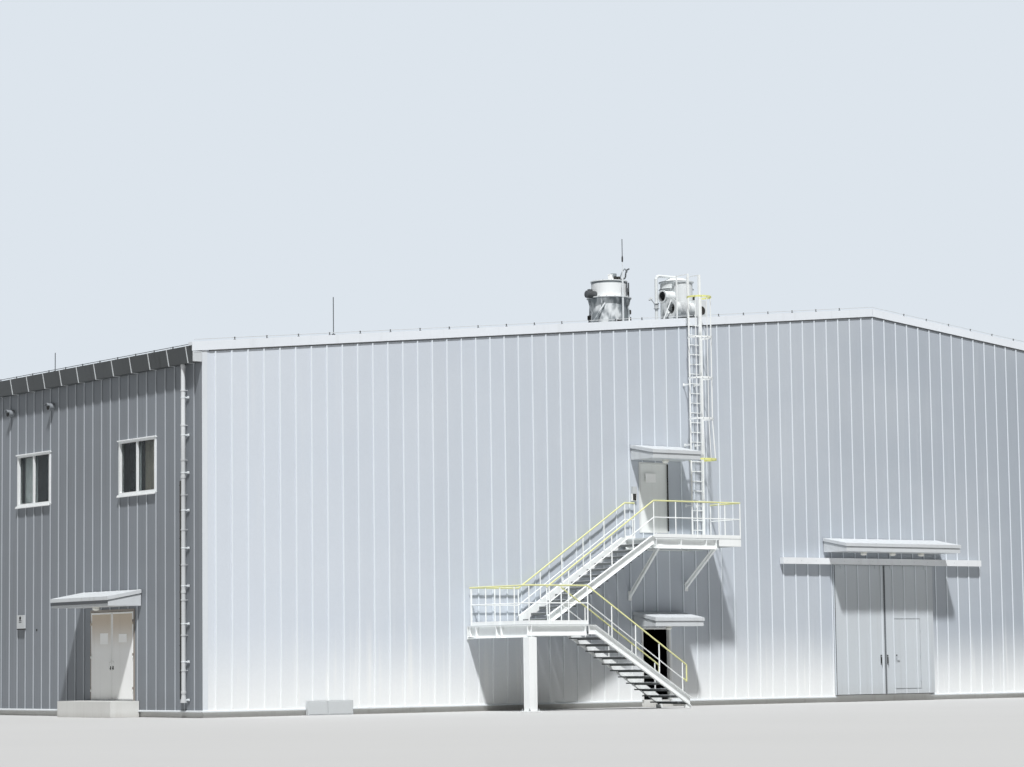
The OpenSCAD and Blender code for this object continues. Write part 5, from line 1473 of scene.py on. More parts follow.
@dataclass
class Gate:
    """Dark edges of painted shade at the gaps, pull plates, brushes and bolts of the sliding gate."""

    face: float = 0.050
    up: Span = (0.110, 2.100)
    # Each leaf: its name, the dark strips of painted shade at its edges and the span of its brush
    edges: tuple = (("left", ((0.050, 0.066), (-0.990, -0.977)), (-0.98, 0.060)),
                    ("right", ((0.074, 0.086),), (0.080, 1.12)))
    brush: Span = (-0.045, -0.026)
    pulls: tuple = ((-0.03, "gate_leaf_left"), (0.11, "gate_leaf_right"))
    pull_z: float = 0.57
    pull_half: float = 0.014
    pull_screws: tuple = (0.0, 0.134)
    rose: tuple = ((0.291, 0.319), (0.605, 0.715))
    lock_at: tuple = (0.305, 0.695)
    wicket: tuple = ((0.269, 0.841), (0.184, 1.271))
    seal: float = 0.006
    cover_front: float = 0.092
    cover_bolt_z: float = 2.155
    cover_pitch: float = 0.3
    cover_span: Span = (-2.0, 2.14)

    def seals(self) -> None:
        """Model the dark strips at the leaves' edges, painted shade of the gaps, and the brush under each
        leaf.
        """
        low, high = self.up
        for name, edges, brush in self.edges:
            parts = [block(edge, (-self.face - 0.0025, SINK - self.face), (low + 0.004, high - 0.006), 0.001)
                     for edge in edges]
            parts.append(block(brush, self.brush, (low - 0.0045, low + SINK), 0.0012))
            settle(copies(joined(parts), [FRONT]), f"gate_{name}_seals", "shadow_grey",
                   f"gate_leaf_{name}")

    def handles(self) -> None:
        """Model the dark plates behind the pulls and behind the wicket's lock."""
        deep = (-self.face - 0.003, SINK - self.face)
        on_plate = -self.face - 0.0025
        for x, body in self.pulls:
            plate = block((x - self.pull_half, x + self.pull_half), deep,
                          (self.pull_z - 0.008, self.pull_z + 0.142), 0.0012)
            heads = copies(turned([(0.0, 0.005), (0.002, 0.004)], 8),
                           [moved(x, on_plate, self.pull_z + dz) @ OUTWARD for dz in self.pull_screws])
            settle(copies(joined([plate, heads]), [FRONT]), f"{body}_pull_plate", "dark_rubber", body)
        across, up = self.rose
        rose = block(across, deep, up, 0.0012)
        x, z = self.lock_at
        lock = copies(turned([(0.0, 0.008), (0.003, 0.007)], 12), [moved(x, on_plate, z) @ OUTWARD])
        settle(copies(joined([rose, lock]), [FRONT]), "wicket_lock_plate", "shadow_grey", "wicket")

    def wicket_seal(self) -> None:
        """Model the strips beside, over and under the wicket, away from its hinges."""
        (x0, x1), (z0, z1) = self.wicket
        deep = (-self.face - 0.002, SINK - self.face)
        w = self.seal
        parts = [block(across, deep, up, 0.0008) for across, up in (
            ((x0 - w, x0), (z0 - w, z1 + w)), ((x0, x1), (z1, z1 + w)), ((x0, x1), (z0 - w, z0)))]
        settle(copies(joined(parts), [FRONT]), "wicket_seal", "seal_grey", "gate_leaf_right")

    def cover_bolts(self) -> None:
        """Model the bolts along the track cover."""
        low, high = self.cover_span
        count = int((high - low) / self.cover_pitch)
        bolts = copies(bolt(0.005, 0.004), [
            moved(low + self.cover_pitch * k, -self.cover_front + 0.0005, self.cover_bolt_z) @ OUTWARD
            for k in range(count + 1)])
        settle(copies(bolts, [FRONT]), "track_cover_bolts", "canopy_sheet")

    def build(self) -> None:
        """Model all gate pieces."""
        self.seals()
        self.handles()
        self.wicket_seal()
        self.cover_bolts()


@dataclass
class Canopies:
    """Raised seams, a front board of painted shade and lamps of the four canopies."""

    back: float = 0.012
    reach: float = 0.527
    rise_back: float = 0.2178
    rise_front: float = 0.1238
    seam_h: float = 0.004
    seam_w: float = 0.012
    seam_in: float = 0.03
    lamp_r: float = 0.048
    lamp_out: float = 0.2575
    lamp_rim: Rings = ((0.0, 0.014), (0.003, 0.016), (0.006, 0.012))
    lamp_dome: Rings = ((-0.050, 0.020), (-0.044, 0.037), (-0.034, 0.048), (-0.0195, 0.051))
    # Low and high edge of the dark board of painted shade, above the canopy's base
    shade_band: Span = (0.030, 0.072)
    # Wall, middle, width, height, number of seam fields and places of the lamps from the middle
    roofs: tuple = ((FRONT, 0.07, 2.4485, 2.292, 8, (-0.62125, 0.0, 0.62125)),
                    (FRONT, -4.51, 0.93, 1.16, 3, (0.0,)), (FRONT, -4.51, 0.93, 3.592, 3, (0.0,)),
                    (LEFT, 6.81, 1.615, 1.49, 5, (0.0,)))

    def seams(self) -> None:
        """Model the seams that run down each canopy."""
        run = flat((0.0, -self.back, self.rise_back), (0.0, -self.reach - 0.001, self.rise_front),
                   self.seam_w, 2 * self.seam_h, (0.0, 0.0, 1.0))
        spots = []
        for wall, middle, width, base, count, _ in self.roofs:
            step = (width - 2 * self.seam_in) / count
            first = middle - width / 2 + self.seam_in
            spots += [wall @ moved(first + step * k, 0.0, base) for k in range(count + 1)]
        settle(copies(run, spots), "canopy_seams", "canopy_sheet")

    def board(self) -> None:
        """Model the dark board along the front of the side door's canopy, painted shade of the groove under
        its cover.
        """
        wall, middle, width, base, _, _ = self.roofs[3]
        low, high = self.shade_band
        half = width / 2 - 0.002
        board = block((middle - half, middle + half), (-self.reach - 0.0025, -self.reach + 0.004),
                      (base + low, base + high), 0.001)
        settle(copies(board, [wall]), "side_canopy_shade_board", "shadow_grey")

    def lamps(self) -> None:
        """Model the rims round the lamps and their domes."""
        spots = [wall @ moved(middle + x, -self.lamp_out, base)
                 for wall, middle, _, base, _, lamps in self.roofs for x in lamps]
        rim = turned([(z, self.lamp_r + proud) for z, proud in self.lamp_rim], 20)
        settle(copies(rim, [spot @ moved(z=-0.006) for spot in spots]), "canopy_lamp_rims", "light_shell")
        settle(copies(turned(self.lamp_dome, 20), spots), "canopy_lamp_domes", "light_shell")

    def build(self) -> None:
        """Model all canopy pieces."""
        self.seams()
        self.board()
        self.lamps()


@dataclass
class Stair:
    """Nosings, web bolts, stiffeners, post plates, brace flanges and base bolts of the outside stair."""

    going: float = 0.145
    # Flight: place of its foot, height there, rise of a step, number of treads; then its lane and nose
    lower: tuple = ((-6.925, 1.18, -0.0907692, 12), (-10.6215, -10.0135), 1.0)
    upper: tuple = ((-7.02, 1.18, 0.0892857, 13), (-9.9115, -9.2635), -1.0)
    web: float = 0.0035
    nosing: float = 0.026
    nosing_in: float = 0.012
    bead_in: float = 0.016
    beads: tuple = (-0.009, -0.0015, 0.006)
    bolt_in: float = 0.045
    bolt_down: float = 0.004
    bolt_bed: float = 0.0005
    post: Span = (-7.905, -10.58)
    post_half: float = 0.065
    post_up: Span = (0.012, 1.0)
    base_half: float = 0.104
    anchor_in: float = 0.024
    beam_up: Span = (1.008, 1.159)
    beam_in: Span = (-0.045, -0.0035)
    beam_lines: tuple = (-9.87, -9.98, -9.40)
    top_beam: tuple = ((-9.915, -9.874), (2.262, 2.404))
    top_lines: tuple = (-4.62, -4.14)
    plate_t: float = 0.006
    joint_plate: tuple = ((-5.03, -4.93), (-9.8785, -9.8725), (2.298, 2.372))
    joint_bolts: tuple = ((-5.012, -4.948), (2.313, 2.357))
    braces: tuple = ((-5.025, 1.63), (-3.963, 1.77))
    brace_wall: float = -9.2125
    brace_out: float = -9.84
    brace_top: float = 2.27
    brace_w: float = 0.062
    brace_t: float = 0.005
    brace_face: Point = (0.0, -0.76, 0.64)

    def nosings(self) -> None:
        """Model the ribbed strip on the front edge of every tread."""
        parts = []
        edge = self.going / 2 - self.nosing / 2 - 0.002
        for (x0, z0, step, count), (y0, y1), nose in (self.lower, self.upper):
            strips = [block(even(self.nosing / 2), (y0 + self.nosing_in, y1 - self.nosing_in),
                            (-0.001, 0.0022), 0.0008)]
            strips += [block((x, x + 0.003), (y0 + self.bead_in, y1 - self.bead_in), (0.0015, 0.0032), 0.0006)
                       for x in self.beads]
            parts.append(copies(joined(strips), [
                moved(x0 + self.going * (k - 0.5) + nose * edge, 0.0, z0 + step * k)
                for k in range(1, count + 1)]))
        settle(joined(parts), "stair_nosings", "strap_white")

    def web_bolts(self) -> None:
        """Model the bolt that holds each end of every tread, on the outer side of its stringer."""
        spots = []
        out = 2 * self.web - self.bolt_bed
        for (x0, z0, step, count), (y0, y1), nose in (self.lower, self.upper):
            for k in range(1, count + 1):
                x = x0 + self.going * (k - 0.5) + nose * self.bolt_in
                z = z0 + step * k - self.bolt_down
                spots.append(moved(x, y0 - out, z) @ OUTWARD)
                spots.append(moved(x, y1 + out, z) @ spun(-90.0, "X"))
        settle(copies(bolt(0.006, 0.006), spots), "stair_web_bolts", "stair_white")

    def stiffeners(self) -> None:
        """Model the stiffener plates on the landing beams and the joint plate of the top landing."""
        x, _ = self.post
        near, far = self.beam_in
        plates = [block((x + near, x + far), (y - 0.004, y + 0.004), self.beam_up, 0.001)
                  for y in self.beam_lines]
        plates += [block((x0, x0 + self.plate_t), *self.top_beam, 0.001) for x0 in self.top_lines]
        plate = block(*self.joint_plate, 0.0012)
        across, up = self.joint_bolts
        heads = copies(bolt(0.006, 0.006), [moved(x0, -9.878, z0) @ OUTWARD for x0 in across for z0 in up])
        settle(joined([*plates, plate, heads]), "stair_stiffeners", "stair_white")

    def post_plates(self) -> None:
        """Model the plates that close the open sides of the post into a box."""
        x, y = self.post
        low, high = self.post_up
        near, far = self.post_half - 0.006, self.post_half - 0.001
        deep = (y - self.post_half + 0.008, y + self.post_half - 0.008)
        parts = [block(across, deep, (low - SINK, high - 0.009), 0.001)
                 for across in ((x - far, x - near), (x + near, x + far))]
        settle(joined(parts), "post_plates", "stair_white")

    def brace_flanges(self) -> None:
        """Model the leg that stiffens each slanted brace under the top landing."""
        parts = [flat((x, self.brace_wall, foot), (x, self.brace_out, self.brace_top), self.brace_w,
                      self.brace_t, self.brace_face) for x, foot in self.braces]
        settle(joined(parts), "brace_flanges", "stair_white")

    def base_bolts(self) -> None:
        """Model the anchor bolts that hold the post's base plate."""
        x, y = self.post
        reach = self.base_half - self.anchor_in
        spots = [moved(x + i * reach, y + j * reach, self.post_up[0] - self.bolt_bed)
                 for i in (-1, 1) for j in (-1, 1)]
        anchor = joined([bolt(0.012, 0.014), turned([(0.010, 0.006), (0.032, 0.006)], 8)])
        settle(copies(anchor, spots), "post_anchor_bolts", "bare_steel")

    def build(self) -> None:
        """Model all stair pieces."""
        self.nosings()
        self.web_bolts()
        self.stiffeners()
        self.post_plates()
        self.brace_flanges()
        self.base_bolts()


@dataclass
class RoofLadder:
    """Wall plates, rung ends, stile flanges and cage bolts of the roof ladder."""

    x: float = -3.82
    half: float = 0.1025
    stile: float = 0.005
    off: float = 0.15
    brackets: tuple = (2.93, 3.83, 4.73)
    plate_half: float = 0.016
    plate_up: Span = (-0.010, 0.034)
    plate_bolts: float = 0.010
    up: Span = (2.43, 6.393)
    flange_w: float = 0.022
    flange_deep: Span = (-0.019, -0.0135)
    inner_deep: Span = (-0.0175, -0.0135)
    rung_end: Rings = ((-0.0005, 0.010), (0.003, 0.010), (0.005, 0.007))
    rung_pitch: float = 0.145
    rungs: int = 22
    hoop_off: float = 0.125
    cage_r: float = 0.178
    flare: float = 0.035
    hoop_t: float = 0.005
    cage_z: float = 3.613
    hoop_pitch: float = 0.605
    hoops: int = 5
    angles: tuple = (-150.0, -120.0, -90.0, -60.0, -30.0)
    cage_bolt: Rings = ((0.0, 0.0065), (0.003, 0.006), (0.0045, 0.003))

    def wall_plates(self) -> None:
        """Model the bolted plates that hold the ladder's brackets on the wall."""
        plate = block(even(self.plate_half), (-HALL.rib - 0.005, -HALL.rib + SINK), self.plate_up, 0.0012)
        heads = copies(bolt(0.004, 0.005), [
            moved(x, -HALL.rib - 0.0045, 0.012) @ OUTWARD for x in even(self.plate_bolts)])
        spots = [FRONT @ moved(self.x + s * self.half, 0.0, z) for s in (-1.0, 1.0) for z in self.brackets]
        settle(copies(joined([plate, heads]), spots), "ladder_wall_plates", "stair_white")

    def rung_ends(self) -> None:
        """Model the ends of the rungs on the outer sides of the stiles."""
        foot, _ = self.up
        out = self.half + self.stile
        spots = [FRONT @ moved(self.x + s * out, -self.off, foot + self.rung_pitch * k) @ spun(90.0 * s, "Y")
                 for s in (-1.0, 1.0) for k in range(1, self.rungs + 1)]
        settle(copies(turned(self.rung_end, 10), spots), "ladder_rung_ends", "stair_white")

    def stile_flanges(self) -> None:
        """Model the flanges that make an angle of each stile."""
        low, high = self.up
        up = (low + 0.002, high - 0.002)
        flange = block((self.stile, self.stile + self.flange_w),
                       [-self.off + place for place in self.flange_deep], up, 0.001)
        inner = block((self.stile - 0.008, self.stile + SINK),
                      [-self.off + place for place in self.inner_deep], up, 0.001)
        spots = [FRONT @ moved(x=self.x) @ hand @ moved(x=self.half) for hand in HANDS]
        settle(copies(joined([flange, inner]), spots), "ladder_stile_flanges", "stair_white")

    def cage_bolts(self) -> None:
        """Model the bolts that hold the cage's uprights to its hoops, the lowest of them flared."""
        spots = []
        for k in range(self.hoops):
            out = self.cage_r + self.hoop_t + (self.flare if k == 0 else 0.0) - 0.0005
            middle = moved(self.x, -self.off - self.hoop_off, self.cage_z + self.hoop_pitch * k)
            spots += [FRONT @ middle @ spun(a, "Z") @ moved(x=out) @ SIDEWAYS for a in self.angles]
        settle(copies(turned(self.cage_bolt, 8), spots), "cage_bolts", "bare_steel")

    def build(self) -> None:
        """Model all ladder pieces."""
        self.wall_plates()
        self.rung_ends()
        self.stile_flanges()
        self.cage_bolts()


@dataclass
class FilterVessel:
    """Braces, flange bolts, motor parts, small boxes, mast fittings and pipes of the filter vessel."""

    centre: Span = (-3.735, -7.25)
    shell_r: float = 0.29
    # Radius, height and number of the bolts on the flange and on the lid
    bolt_rings: tuple = ((0.322, 6.269, 16), (0.255, 6.529, 12))
    brace_from: Point = (-0.235, -0.190, 6.165)
    brace_to: Point = (-0.49, -0.006, 0.0)
    brace_r: float = 0.013
    motor_x: float = -0.450
    motor_z: float = 6.305
    motor_end: float = 0.040
    motor_r: Span = (0.0505, 0.058)
    fins: int = 11
    fin_pitch: float = 0.016
    fin_marks: tuple = (0.0, 0.002, 0.008, 0.010)
    motor_feet: tuple = (0.105, 0.16)
    small_boxes: tuple = ((144.0, 5.967), (-99.0, 5.874), (-36.0, 5.936), (-36.0, 6.05))
    gauge: Rings = ((-0.02, 0.008), (0.012, 0.008), (0.014, 0.030), (0.030, 0.032), (0.034, 0.026))
    gauge_at: tuple = (-36.0, 0.276, 6.35)
    knob: Rings = ((0.0, 0.020), (0.012, 0.020), (0.020, 0.030), (0.075, 0.034), (0.090, 0.022))
    knobs: tuple = ((0.096, -0.04), (0.166, -0.04))
    lid_z: float = 6.527
    mast_at: Span = (-3.76, -7.62)
    mast_holder: Rings = ((6.795, 0.008), (6.80, 0.013), (6.86, 0.013), (6.885, 0.008))
    mast_clamp: Rings = ((-0.014, 0.0155), (-0.012, 0.022), (0.012, 0.022), (0.014, 0.0155))
    clamp_z: float = 6.262
    hook_r: float = 0.0125
    hook: tuple = ((0.228, 0.012), (0.228, 0.060), (0.290, 0.072), (0.335, 0.100), (0.342, 0.165),
                   (0.364, 0.222), (0.415, 0.246))
    hook_z: float = 6.517
    stand_r: float = 0.011
    stand: tuple = ((-62.0, 0.300), (-38.0, 0.305), (-16.0, 0.300))
    stand_up: Span = (6.266, 6.510)
    stand_box_at: tuple = (-50.0, 0.280, 6.385)

    def braces(self) -> None:
        """Model four pipe braces, each down to its own foot plate on the roof."""
        parts = []
        for turn in (0.0, 90.0, 180.0, 270.0):
            place = moved(*self.centre) @ spun(turn, "Z")
            start = place @ Vector(self.brace_from)
            end = place @ Vector(self.brace_to)
            end.z = HALL.top(end.x)
            parts.append(bar(tuple(start), (end.x, end.y, end.z + 0.006), self.brace_r, 10))
            parts.append(copies(roof_plate(), [on_slope(*end)]))
        settle(joined(parts), "vessel_braces", "vessel_grey")

    def bolts(self) -> None:
        """Model the bolts on the vessel's flange and on its lid."""
        spots = [moved(*self.centre, z) @ spun(360.0 / count * k, "Z") @ moved(x=radius)
                 for radius, z, count in self.bolt_rings for k in range(count)]
        settle(copies(bolt(0.008, 0.010), spots), "vessel_bolts", "bare_steel")

    def motor(self) -> None:
        """Model the ribbed sleeve of the motor with its terminal box and its feet."""
        valley, crest = self.motor_r
        rings = [(0.0, self.motor_end)]
        for k in range(self.fins):
            first = 0.004 + self.fin_pitch * k
            rings += [(first + mark, radius)
                      for mark, radius in zip(self.fin_marks, (valley, crest, crest, valley))]
        place = moved(*self.centre, self.motor_z) @ moved(x=self.motor_x) @ SIDEWAYS
        sleeve = copies(turned(rings, 16), [place])
        x, y = self.centre
        x += self.motor_x
        box = block((x + 0.04, x + 0.11), (y - 0.026, y + 0.026),
                    (self.motor_z + 0.044, self.motor_z + 0.080), 0.004)
        feet = [block((x + dx, x + dx + 0.03), (y - 0.045, y + 0.045), (6.268, self.motor_z - 0.03), 0.003)
                for dx in self.motor_feet]
        settle(joined([sleeve, box, *feet]), "vessel_motor_sleeve", "shadow_grey")

    def on_shell(self, angle: float, radius: float, z: float) -> Matrix:
        """Give the place that looks out from the vessel's side at an angle, with Z pointing outward."""
        return moved(*self.centre, z) @ spun(angle, "Z") @ moved(x=radius) @ SIDEWAYS

    def boxes(self) -> None:
        """Model the dark boxes, the gauge and the knobs."""
        case = block(even(0.034), even(0.030), (-0.012, 0.045), 0.005)
        cover = block(even(0.028), even(0.024), (0.044, 0.050), 0.002)
        boxes = copies(joined([case, cover]),
                       [self.on_shell(angle, self.shell_r, z) for angle, z in self.small_boxes])
        gauge = copies(turned(self.gauge, 16), [self.on_shell(*self.gauge_at)])
        knobs = copies(turned(self.knob, 14),
                       [moved(*self.centre, self.lid_z) @ moved(*place) for place in self.knobs])
        settle(joined([boxes, gauge, knobs]), "vessel_boxes", "dark_rubber")

    def lid_box(self) -> None:
        """Model the white box on the lid."""
        x, y = self.centre
        case = block((x + 0.004, x + 0.054), (y - 0.030, y + 0.030), (self.lid_z - SINK, 6.640), 0.006)
        cap = block((x, x + 0.058), (y - 0.034, y + 0.034), (6.636, 6.646), 0.003)
        settle(joined([case, cap]), "vessel_lid_box", "plate_white")

    def mast(self) -> None:
        """Model the dark holder near the top of the mast and the clamp that ties the mast to the flange."""
        x, y = self.mast_at
        holder = copies(turned(self.mast_holder, 10), [moved(x, y)])
        settle(holder, "mast_holder", "dark_rubber")
        clamp = copies(turned(self.mast_clamp, 14), [moved(x, y, self.clamp_z)])
        arm = block((x - 0.008, x + 0.008), (y + 0.012, y + 0.060),
                    (self.clamp_z - 0.006, self.clamp_z + 0.006), 0.002)
        settle(joined([clamp, arm]), "mast_clamp", "strap_white")

    def pipes(self) -> None:
        """Model the hooked pipe on the lid and the dark pipe stand beside the head."""
        x, y = self.centre
        path = [(x + dx, y, self.hook_z + dz) for dx, dz in self.hook]
        parts = [bar(a, b, self.hook_r, 8) for a, b in zip(path, path[1:])]
        low, high = self.stand_up
        for angle, radius in self.stand:
            turn = math.radians(angle)
            px, py = x + radius * math.cos(turn), y + radius * math.sin(turn)
            parts.append(bar((px, py, low), (px, py, high), self.stand_r, 8))
        box = block(even(0.030), even(0.040), (-0.004, 0.030), 0.004)
        parts.append(copies(box, [self.on_shell(*self.stand_box_at)]))
        settle(joined(parts), "vessel_pipes", "shadow_grey")

    def build(self) -> None:
        """Model all vessel pieces."""
        self.braces()
        self.bolts()
        self.motor()
        self.boxes()
        self.lid_box()
        self.mast()
        self.pipes()


@dataclass
class FanDrum:
    """Valve, stay, rails, gaskets, boxes, and dark pieces of painted shade in the mouths and recesses of the
    fan drum.
    """

    centre: Span = (-2.365, -7.25)
    drum_r: float = 0.255
    riser_x: float = -2.78
    valve_z: float = 6.21
    valve_body: Rings = ((-0.05, 0.036), (-0.038, 0.046), (-0.030, 0.032), (0.030, 0.032), (0.038, 0.046),
                         (0.05, 0.036))
    stem: tuple = ((-0.02, 6.235), (-0.115, 6.315))
    wheel: Rings = ((-0.006, 0.030), (0.0, 0.038), (0.006, 0.038), (0.012, 0.030))
    duct: Point = (-2.829, -7.649, 6.134)
    stay_reach: float = 0.235
    # Dark damper disc deep in the duct's mouth, painted shade, and how far in it sits
    damper: Rings = ((0.0, 0.094), (0.004, 0.094), (0.006, 0.030), (0.016, 0.026))
    damper_in: float = 0.118
    fan: Span = (-2.41, -2.179)
    fan_front: float = -7.769
    grille: Rings = ((-0.001, 0.070), (0.005, 0.070), (0.005, 0.058), (0.002, 0.056))
    grille_down: float = 0.02
    grille_bars: tuple = (-0.03, 0.0, 0.03)
    gasket: Rings = ((-0.0045, 0.262), (-0.004, 0.2775), (0.004, 0.2775), (0.0045, 0.262))
    gaskets: tuple = (6.492, 6.608)
    # Dark liner in the branch and dark rings in the bellows' valleys: painted shade in the recesses
    liner: Rings = ((0.084, 0.077), (0.002, 0.077), (0.002, 0.073), (0.080, 0.073))
    liner_at: Point = (-2.80, -7.415, 6.344)
    fold: Rings = ((0.0, 0.1085), (0.0005, 0.1105), (0.0125, 0.1105), (0.013, 0.1085))
    fold_first: float = 0.126
    fold_pitch: float = 0.02625
    folds: int = 8
    upper_rails: tuple = ((-2.49, -2.16), (5.986, 6.0145))
    lower_rails: tuple = ((-2.44, -2.20), (5.912, 5.936))
    box_angles: tuple = (-78.7, -35.75)
    box_z: float = 6.345

    def valve(self) -> None:
        """Model the valve on the riser with its stem and hand wheel."""
        x, y = self.riser_x, self.centre[1]
        body = copies(turned(self.valve_body, 16), [moved(x, y, self.valve_z)])
        ends = [(x + dx, y, z) for dx, z in self.stem]
        stem = bar(*ends, 0.008, 8)
        turn = aimed(*ends).to_3x3().to_4x4()
        wheel = copies(turned(self.wheel, 16), [moved(*ends[1]) @ turn])
        settle(joined([body, stem, wheel]), "riser_valve", "fitting_grey")

    def stay(self) -> None:
        """Model the stay from the duct's flange down to its foot plate on the roof."""
        x, y, z = self.duct
        line = y - 0.02
        foot_x = x - self.stay_reach
        foot_z = HALL.top(foot_x)
        pipe = bar((x + 0.004, line, z + 0.13), (foot_x, line, foot_z + 0.006), 0.010, 10)
        plate = copies(roof_plate(), [on_slope(foot_x, line, foot_z)])
        settle(joined([pipe, plate]), "duct_stay", "duct_white")

    def mouths(self) -> None:
        """Model the dark damper in the duct's mouth, painted shade of the deep duct, and the grille on the
        fan casing.
        """
        duct_x, duct_y, duct_z = self.duct
        parts = [copies(turned(self.damper, 20),
                        [moved(duct_x + self.damper_in, duct_y, duct_z) @ spun(-90.0, "Y")])]
        x = sum(self.fan) / 2
        parts.append(copies(turned(self.grille, 24),
                            [moved(x, self.fan_front, duct_z - self.grille_down) @ OUTWARD]))
        y = self.fan_front - 0.004
        parts += [bar((x + dx, y, duct_z - 0.075), (x + dx, y, duct_z + 0.035), 0.0025, 6)
                  for dx in self.grille_bars]
        settle(joined(parts), "fan_mouth_shade_and_grille", "dark_rubber")

    def joints(self) -> None:
        """Model the dark joints of the drum's flanges, and the dark liner in the branch and rings in the
        bellows' valleys, painted shade in the recesses.
        """
        rings = copies(turned(self.gasket, 40), [moved(*self.centre, z) for z in self.gaskets])
        liner = copies(turned(self.liner, 24), [moved(*self.liner_at) @ SIDEWAYS])
        x, y, z = self.duct
        folds = copies(turned(self.fold, 32), [
            moved(x + self.fold_first + self.fold_pitch * (k + 0.5), y, z) @ SIDEWAYS
            for k in range(self.folds)])
        settle(joined([rings, liner, folds]), "drum_gaskets_and_shade", "shadow_grey")

    def rails(self) -> None:
        """Model the dark base rails under the fan casing."""
        across, up = self.upper_rails
        upper = block(across, (self.fan_front - 0.006, self.fan_front + 0.250), up, 0.003)
        across, up = self.lower_rails
        _, y, _ = self.duct
        lower = block(across, (y - 0.060, y + 0.060), up, 0.003)
        settle(joined([upper, lower]), "fan_base_rails", "shadow_grey")

    def boxes(self) -> None:
        """Model the dark switch boxes on the drum."""
        box = block(even(0.036), even(0.030), (-0.012, 0.036), 0.005)
        middle = moved(*self.centre, self.box_z)
        boxes = copies(box, [middle @ spun(angle, "Z") @ moved(x=self.drum_r) @ SIDEWAYS
                             for angle in self.box_angles])
        settle(boxes, "drum_boxes", "dark_rubber")

    def build(self) -> None:
        """Model all drum pieces."""
        self.valve()
        self.stay()
        self.mouths()
        self.joints()
        self.rails()
        self.boxes()


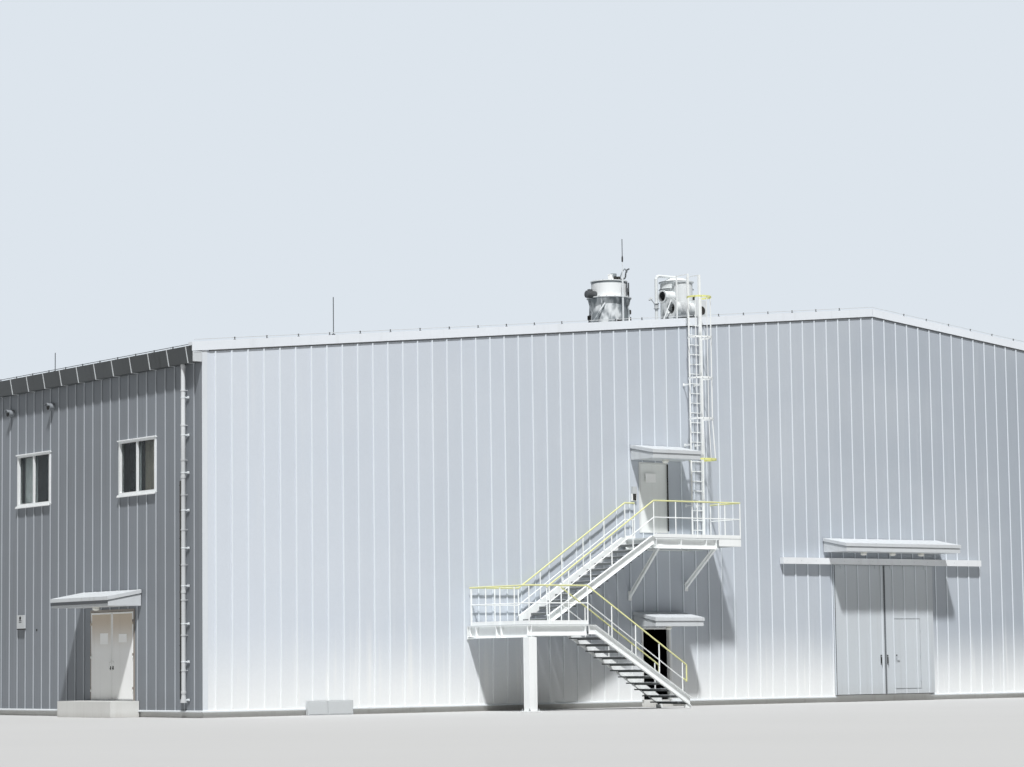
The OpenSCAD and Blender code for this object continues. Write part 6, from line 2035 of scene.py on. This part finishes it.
@dataclass
class Fittings:
    """Box faces, bell push, hood cowls, ridge screws, and the plate and the seal of the upper door, widened
    over its right jamb as painted shade.
    """

    ridge_pitch: float = 0.5
    ridge_half: float = 0.225
    cap_rise: float = 0.0221
    screw: Rings = ((-0.001, 0.011), (0.002, 0.011), (0.003, 0.007), (0.008, 0.006))
    front_box: tuple = ((-4.952, -4.890), (-0.0345, -0.0295), (2.998, 3.160))
    side_face: float = -0.0455
    slots: tuple = (1.328, 1.350)
    slot_x: Span = (4.125, 4.205)
    slot_high: float = 0.009
    shelf: tuple = ((4.058, 4.272), (1.2255, 1.2425))
    knob: Rings = ((0.0, 0.026), (0.004, 0.026), (0.007, 0.018))
    knob_at: Span = (4.165, 1.392)
    push: Rings = ((0.0, 0.014), (0.006, 0.014), (0.008, 0.008), (0.012, 0.007))
    push_at: Point = (4.595, -0.0005, 1.215)
    door_case: tuple = ((-4.963, -4.877), (-0.030, 0.0), (2.988, 3.0965))
    base_boxes: tuple = ((-10.62, -10.306), (-10.30, -9.90))
    lid_in: float = 0.012
    lid: tuple = ((-0.066, -0.061), (0.012, 0.178))
    hoods: tuple = (5.07, 3.825)
    hood_z: float = 4.375
    cowl: Rings = ((0.075, 0.0535), (0.080, 0.056), (0.118, 0.056), (0.118, 0.051), (0.086, 0.050))
    cowl_cut: float = -0.008
    cowl_lean: Point = (0.0, 0.25, 1.0)
    collar: Rings = ((-0.001, 0.060), (0.003, 0.060), (0.005, 0.053))
    # Dark disc in each hood's mouth, painted shade of the opening
    mouth: Rings = ((0.082, 0.046), (0.0845, 0.046), (0.0855, 0.040))
    door_plate: tuple = ((-4.705, -4.508), (-0.031, -0.027), (3.268, 3.402))
    # Dark seal at the door's edge, widened over the right jamb as painted shade
    door_seal_and_jamb_shade: tuple = ((-4.2915, -4.270), (-0.0305, -0.020), (2.556, 3.545))

    def box_faces(self) -> None:
        """Model the dark faces of the wall boxes and the bell push beside them."""
        front = copies(block(*self.front_box, 0.0015), [FRONT])
        face = self.side_face
        slots = [block(self.slot_x, (face - 0.002, face + SINK), (z, z + self.slot_high), 0.0008)
                 for z in self.slots]
        across, up = self.shelf
        shelf = block(across, (face, -0.011), up, 0.002)
        x, z = self.knob_at
        knob = copies(turned(self.knob, 16), [moved(x, face + SINK, z) @ OUTWARD])
        push = copies(turned(self.push, 14), [moved(*self.push_at) @ OUTWARD])
        side = copies(joined([*slots, shelf, knob, push]), [LEFT])
        settle(joined([front, side]), "box_faces", "dark_rubber")

    def box_cases(self) -> None:
        """Model the case beside the upper door and the lids of the boxes at the wall's foot."""
        settle(copies(block(*self.door_case, 0.004), [FRONT]), "door_box_case", "plate_white")
        lids = [block((x0 + self.lid_in, x1 - self.lid_in), *self.lid, 0.002) for x0, x1 in self.base_boxes]
        settle(copies(joined(lids), [FRONT]), "base_box_lids", "fitting_grey")

    def hood_pieces(self) -> None:
        """Model the slanted cowls, the wall collars and the dark discs in the hoods' mouths, painted shade of
        the openings.
        """
        spots = [LEFT @ moved(x, 0.0, self.hood_z) for x in self.hoods]
        cowl = copies(turned(self.cowl, 24), [OUTWARD])
        open_mesh(cowl)
        bpy.ops.mesh.bisect(plane_co=(0.0, 0.0, self.cowl_cut), plane_no=self.cowl_lean, use_fill=True,
                            clear_inner=True)
        close_mesh()
        collar = copies(turned(self.collar, 20), [OUTWARD])
        settle(copies(joined([cowl, collar]), spots), "hood_cowls", "hood_grey")
        mouth = copies(turned(self.mouth, 20), [OUTWARD])
        settle(copies(mouth, spots), "hood_mouth_shades", "dark_rubber")

    def upper_door(self) -> None:
        """Model the bare plate and the dark edge seal of the upper stair door; the seal reaches over the
        right jamb as painted shade.
        """
        for name, sizes, finish in (("upper_door_plate", self.door_plate, "plate_white"),
                                    ("upper_door_seal_and_jamb_shade", self.door_seal_and_jamb_shade, "dark_rubber")):
            settle(copies(block(*sizes, 0.0012), [FRONT]), name, finish)

    def ridge(self) -> None:
        """Model the screws along both sides of the ridge cap."""
        count = int(2 * HALL.half_d / self.ridge_pitch)
        z = HALL.top(self.ridge_half) + self.cap_rise
        lines = [-HALL.half_d + self.ridge_pitch * (k + 0.5) for k in range(count)]
        spots = [moved(s * self.ridge_half, y, z) @ spun(s * HALL.slope, "Y")
                 for s in (-1.0, 1.0) for y in lines]
        settle(copies(turned(self.screw, 8), spots), "ridge_screws", "bare_steel")

    def build(self) -> None:
        """Model all fittings."""
        self.box_faces()
        self.box_cases()
        self.hood_pieces()
        self.upper_door()
        self.ridge()


def dress_nodes() -> None:
    """Give every CAD node its finish."""
    slots = {part["node"]: part["material_slot"] for part in frame["record"]["subparts"]}
    for name, node in frame["nodes"].items():
        finish = NODE_FINISH.get(name, slots[name])
        node.data.materials.clear()
        node.data.materials.append(paint_of(finish))
        LOG.info("%s dressed in %s", name, finish)


def main() -> None:
    """Build the camera, the light, the finishes and every piece."""
    logging.basicConfig(level=logging.INFO, format="%(name)s: %(message)s")
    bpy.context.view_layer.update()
    bpy.context.scene.view_settings.view_transform = "Standard"
    stand = Stand()
    stand.camera()
    stand.light()
    stand.floor()
    GROUPS["weather"] = weather_group()
    GROUPS["seams"] = seams_group()
    dress_nodes()
    for piece in (WallFoot(), RakeEdge(), Rainwater(), Windows(), SideDoor(), Gate(), Canopies(), Stair(),
                  RoofLadder(), FilterVessel(), FanDrum(), Fittings()):
        piece.build()


if __name__ == "__main__":
    main()
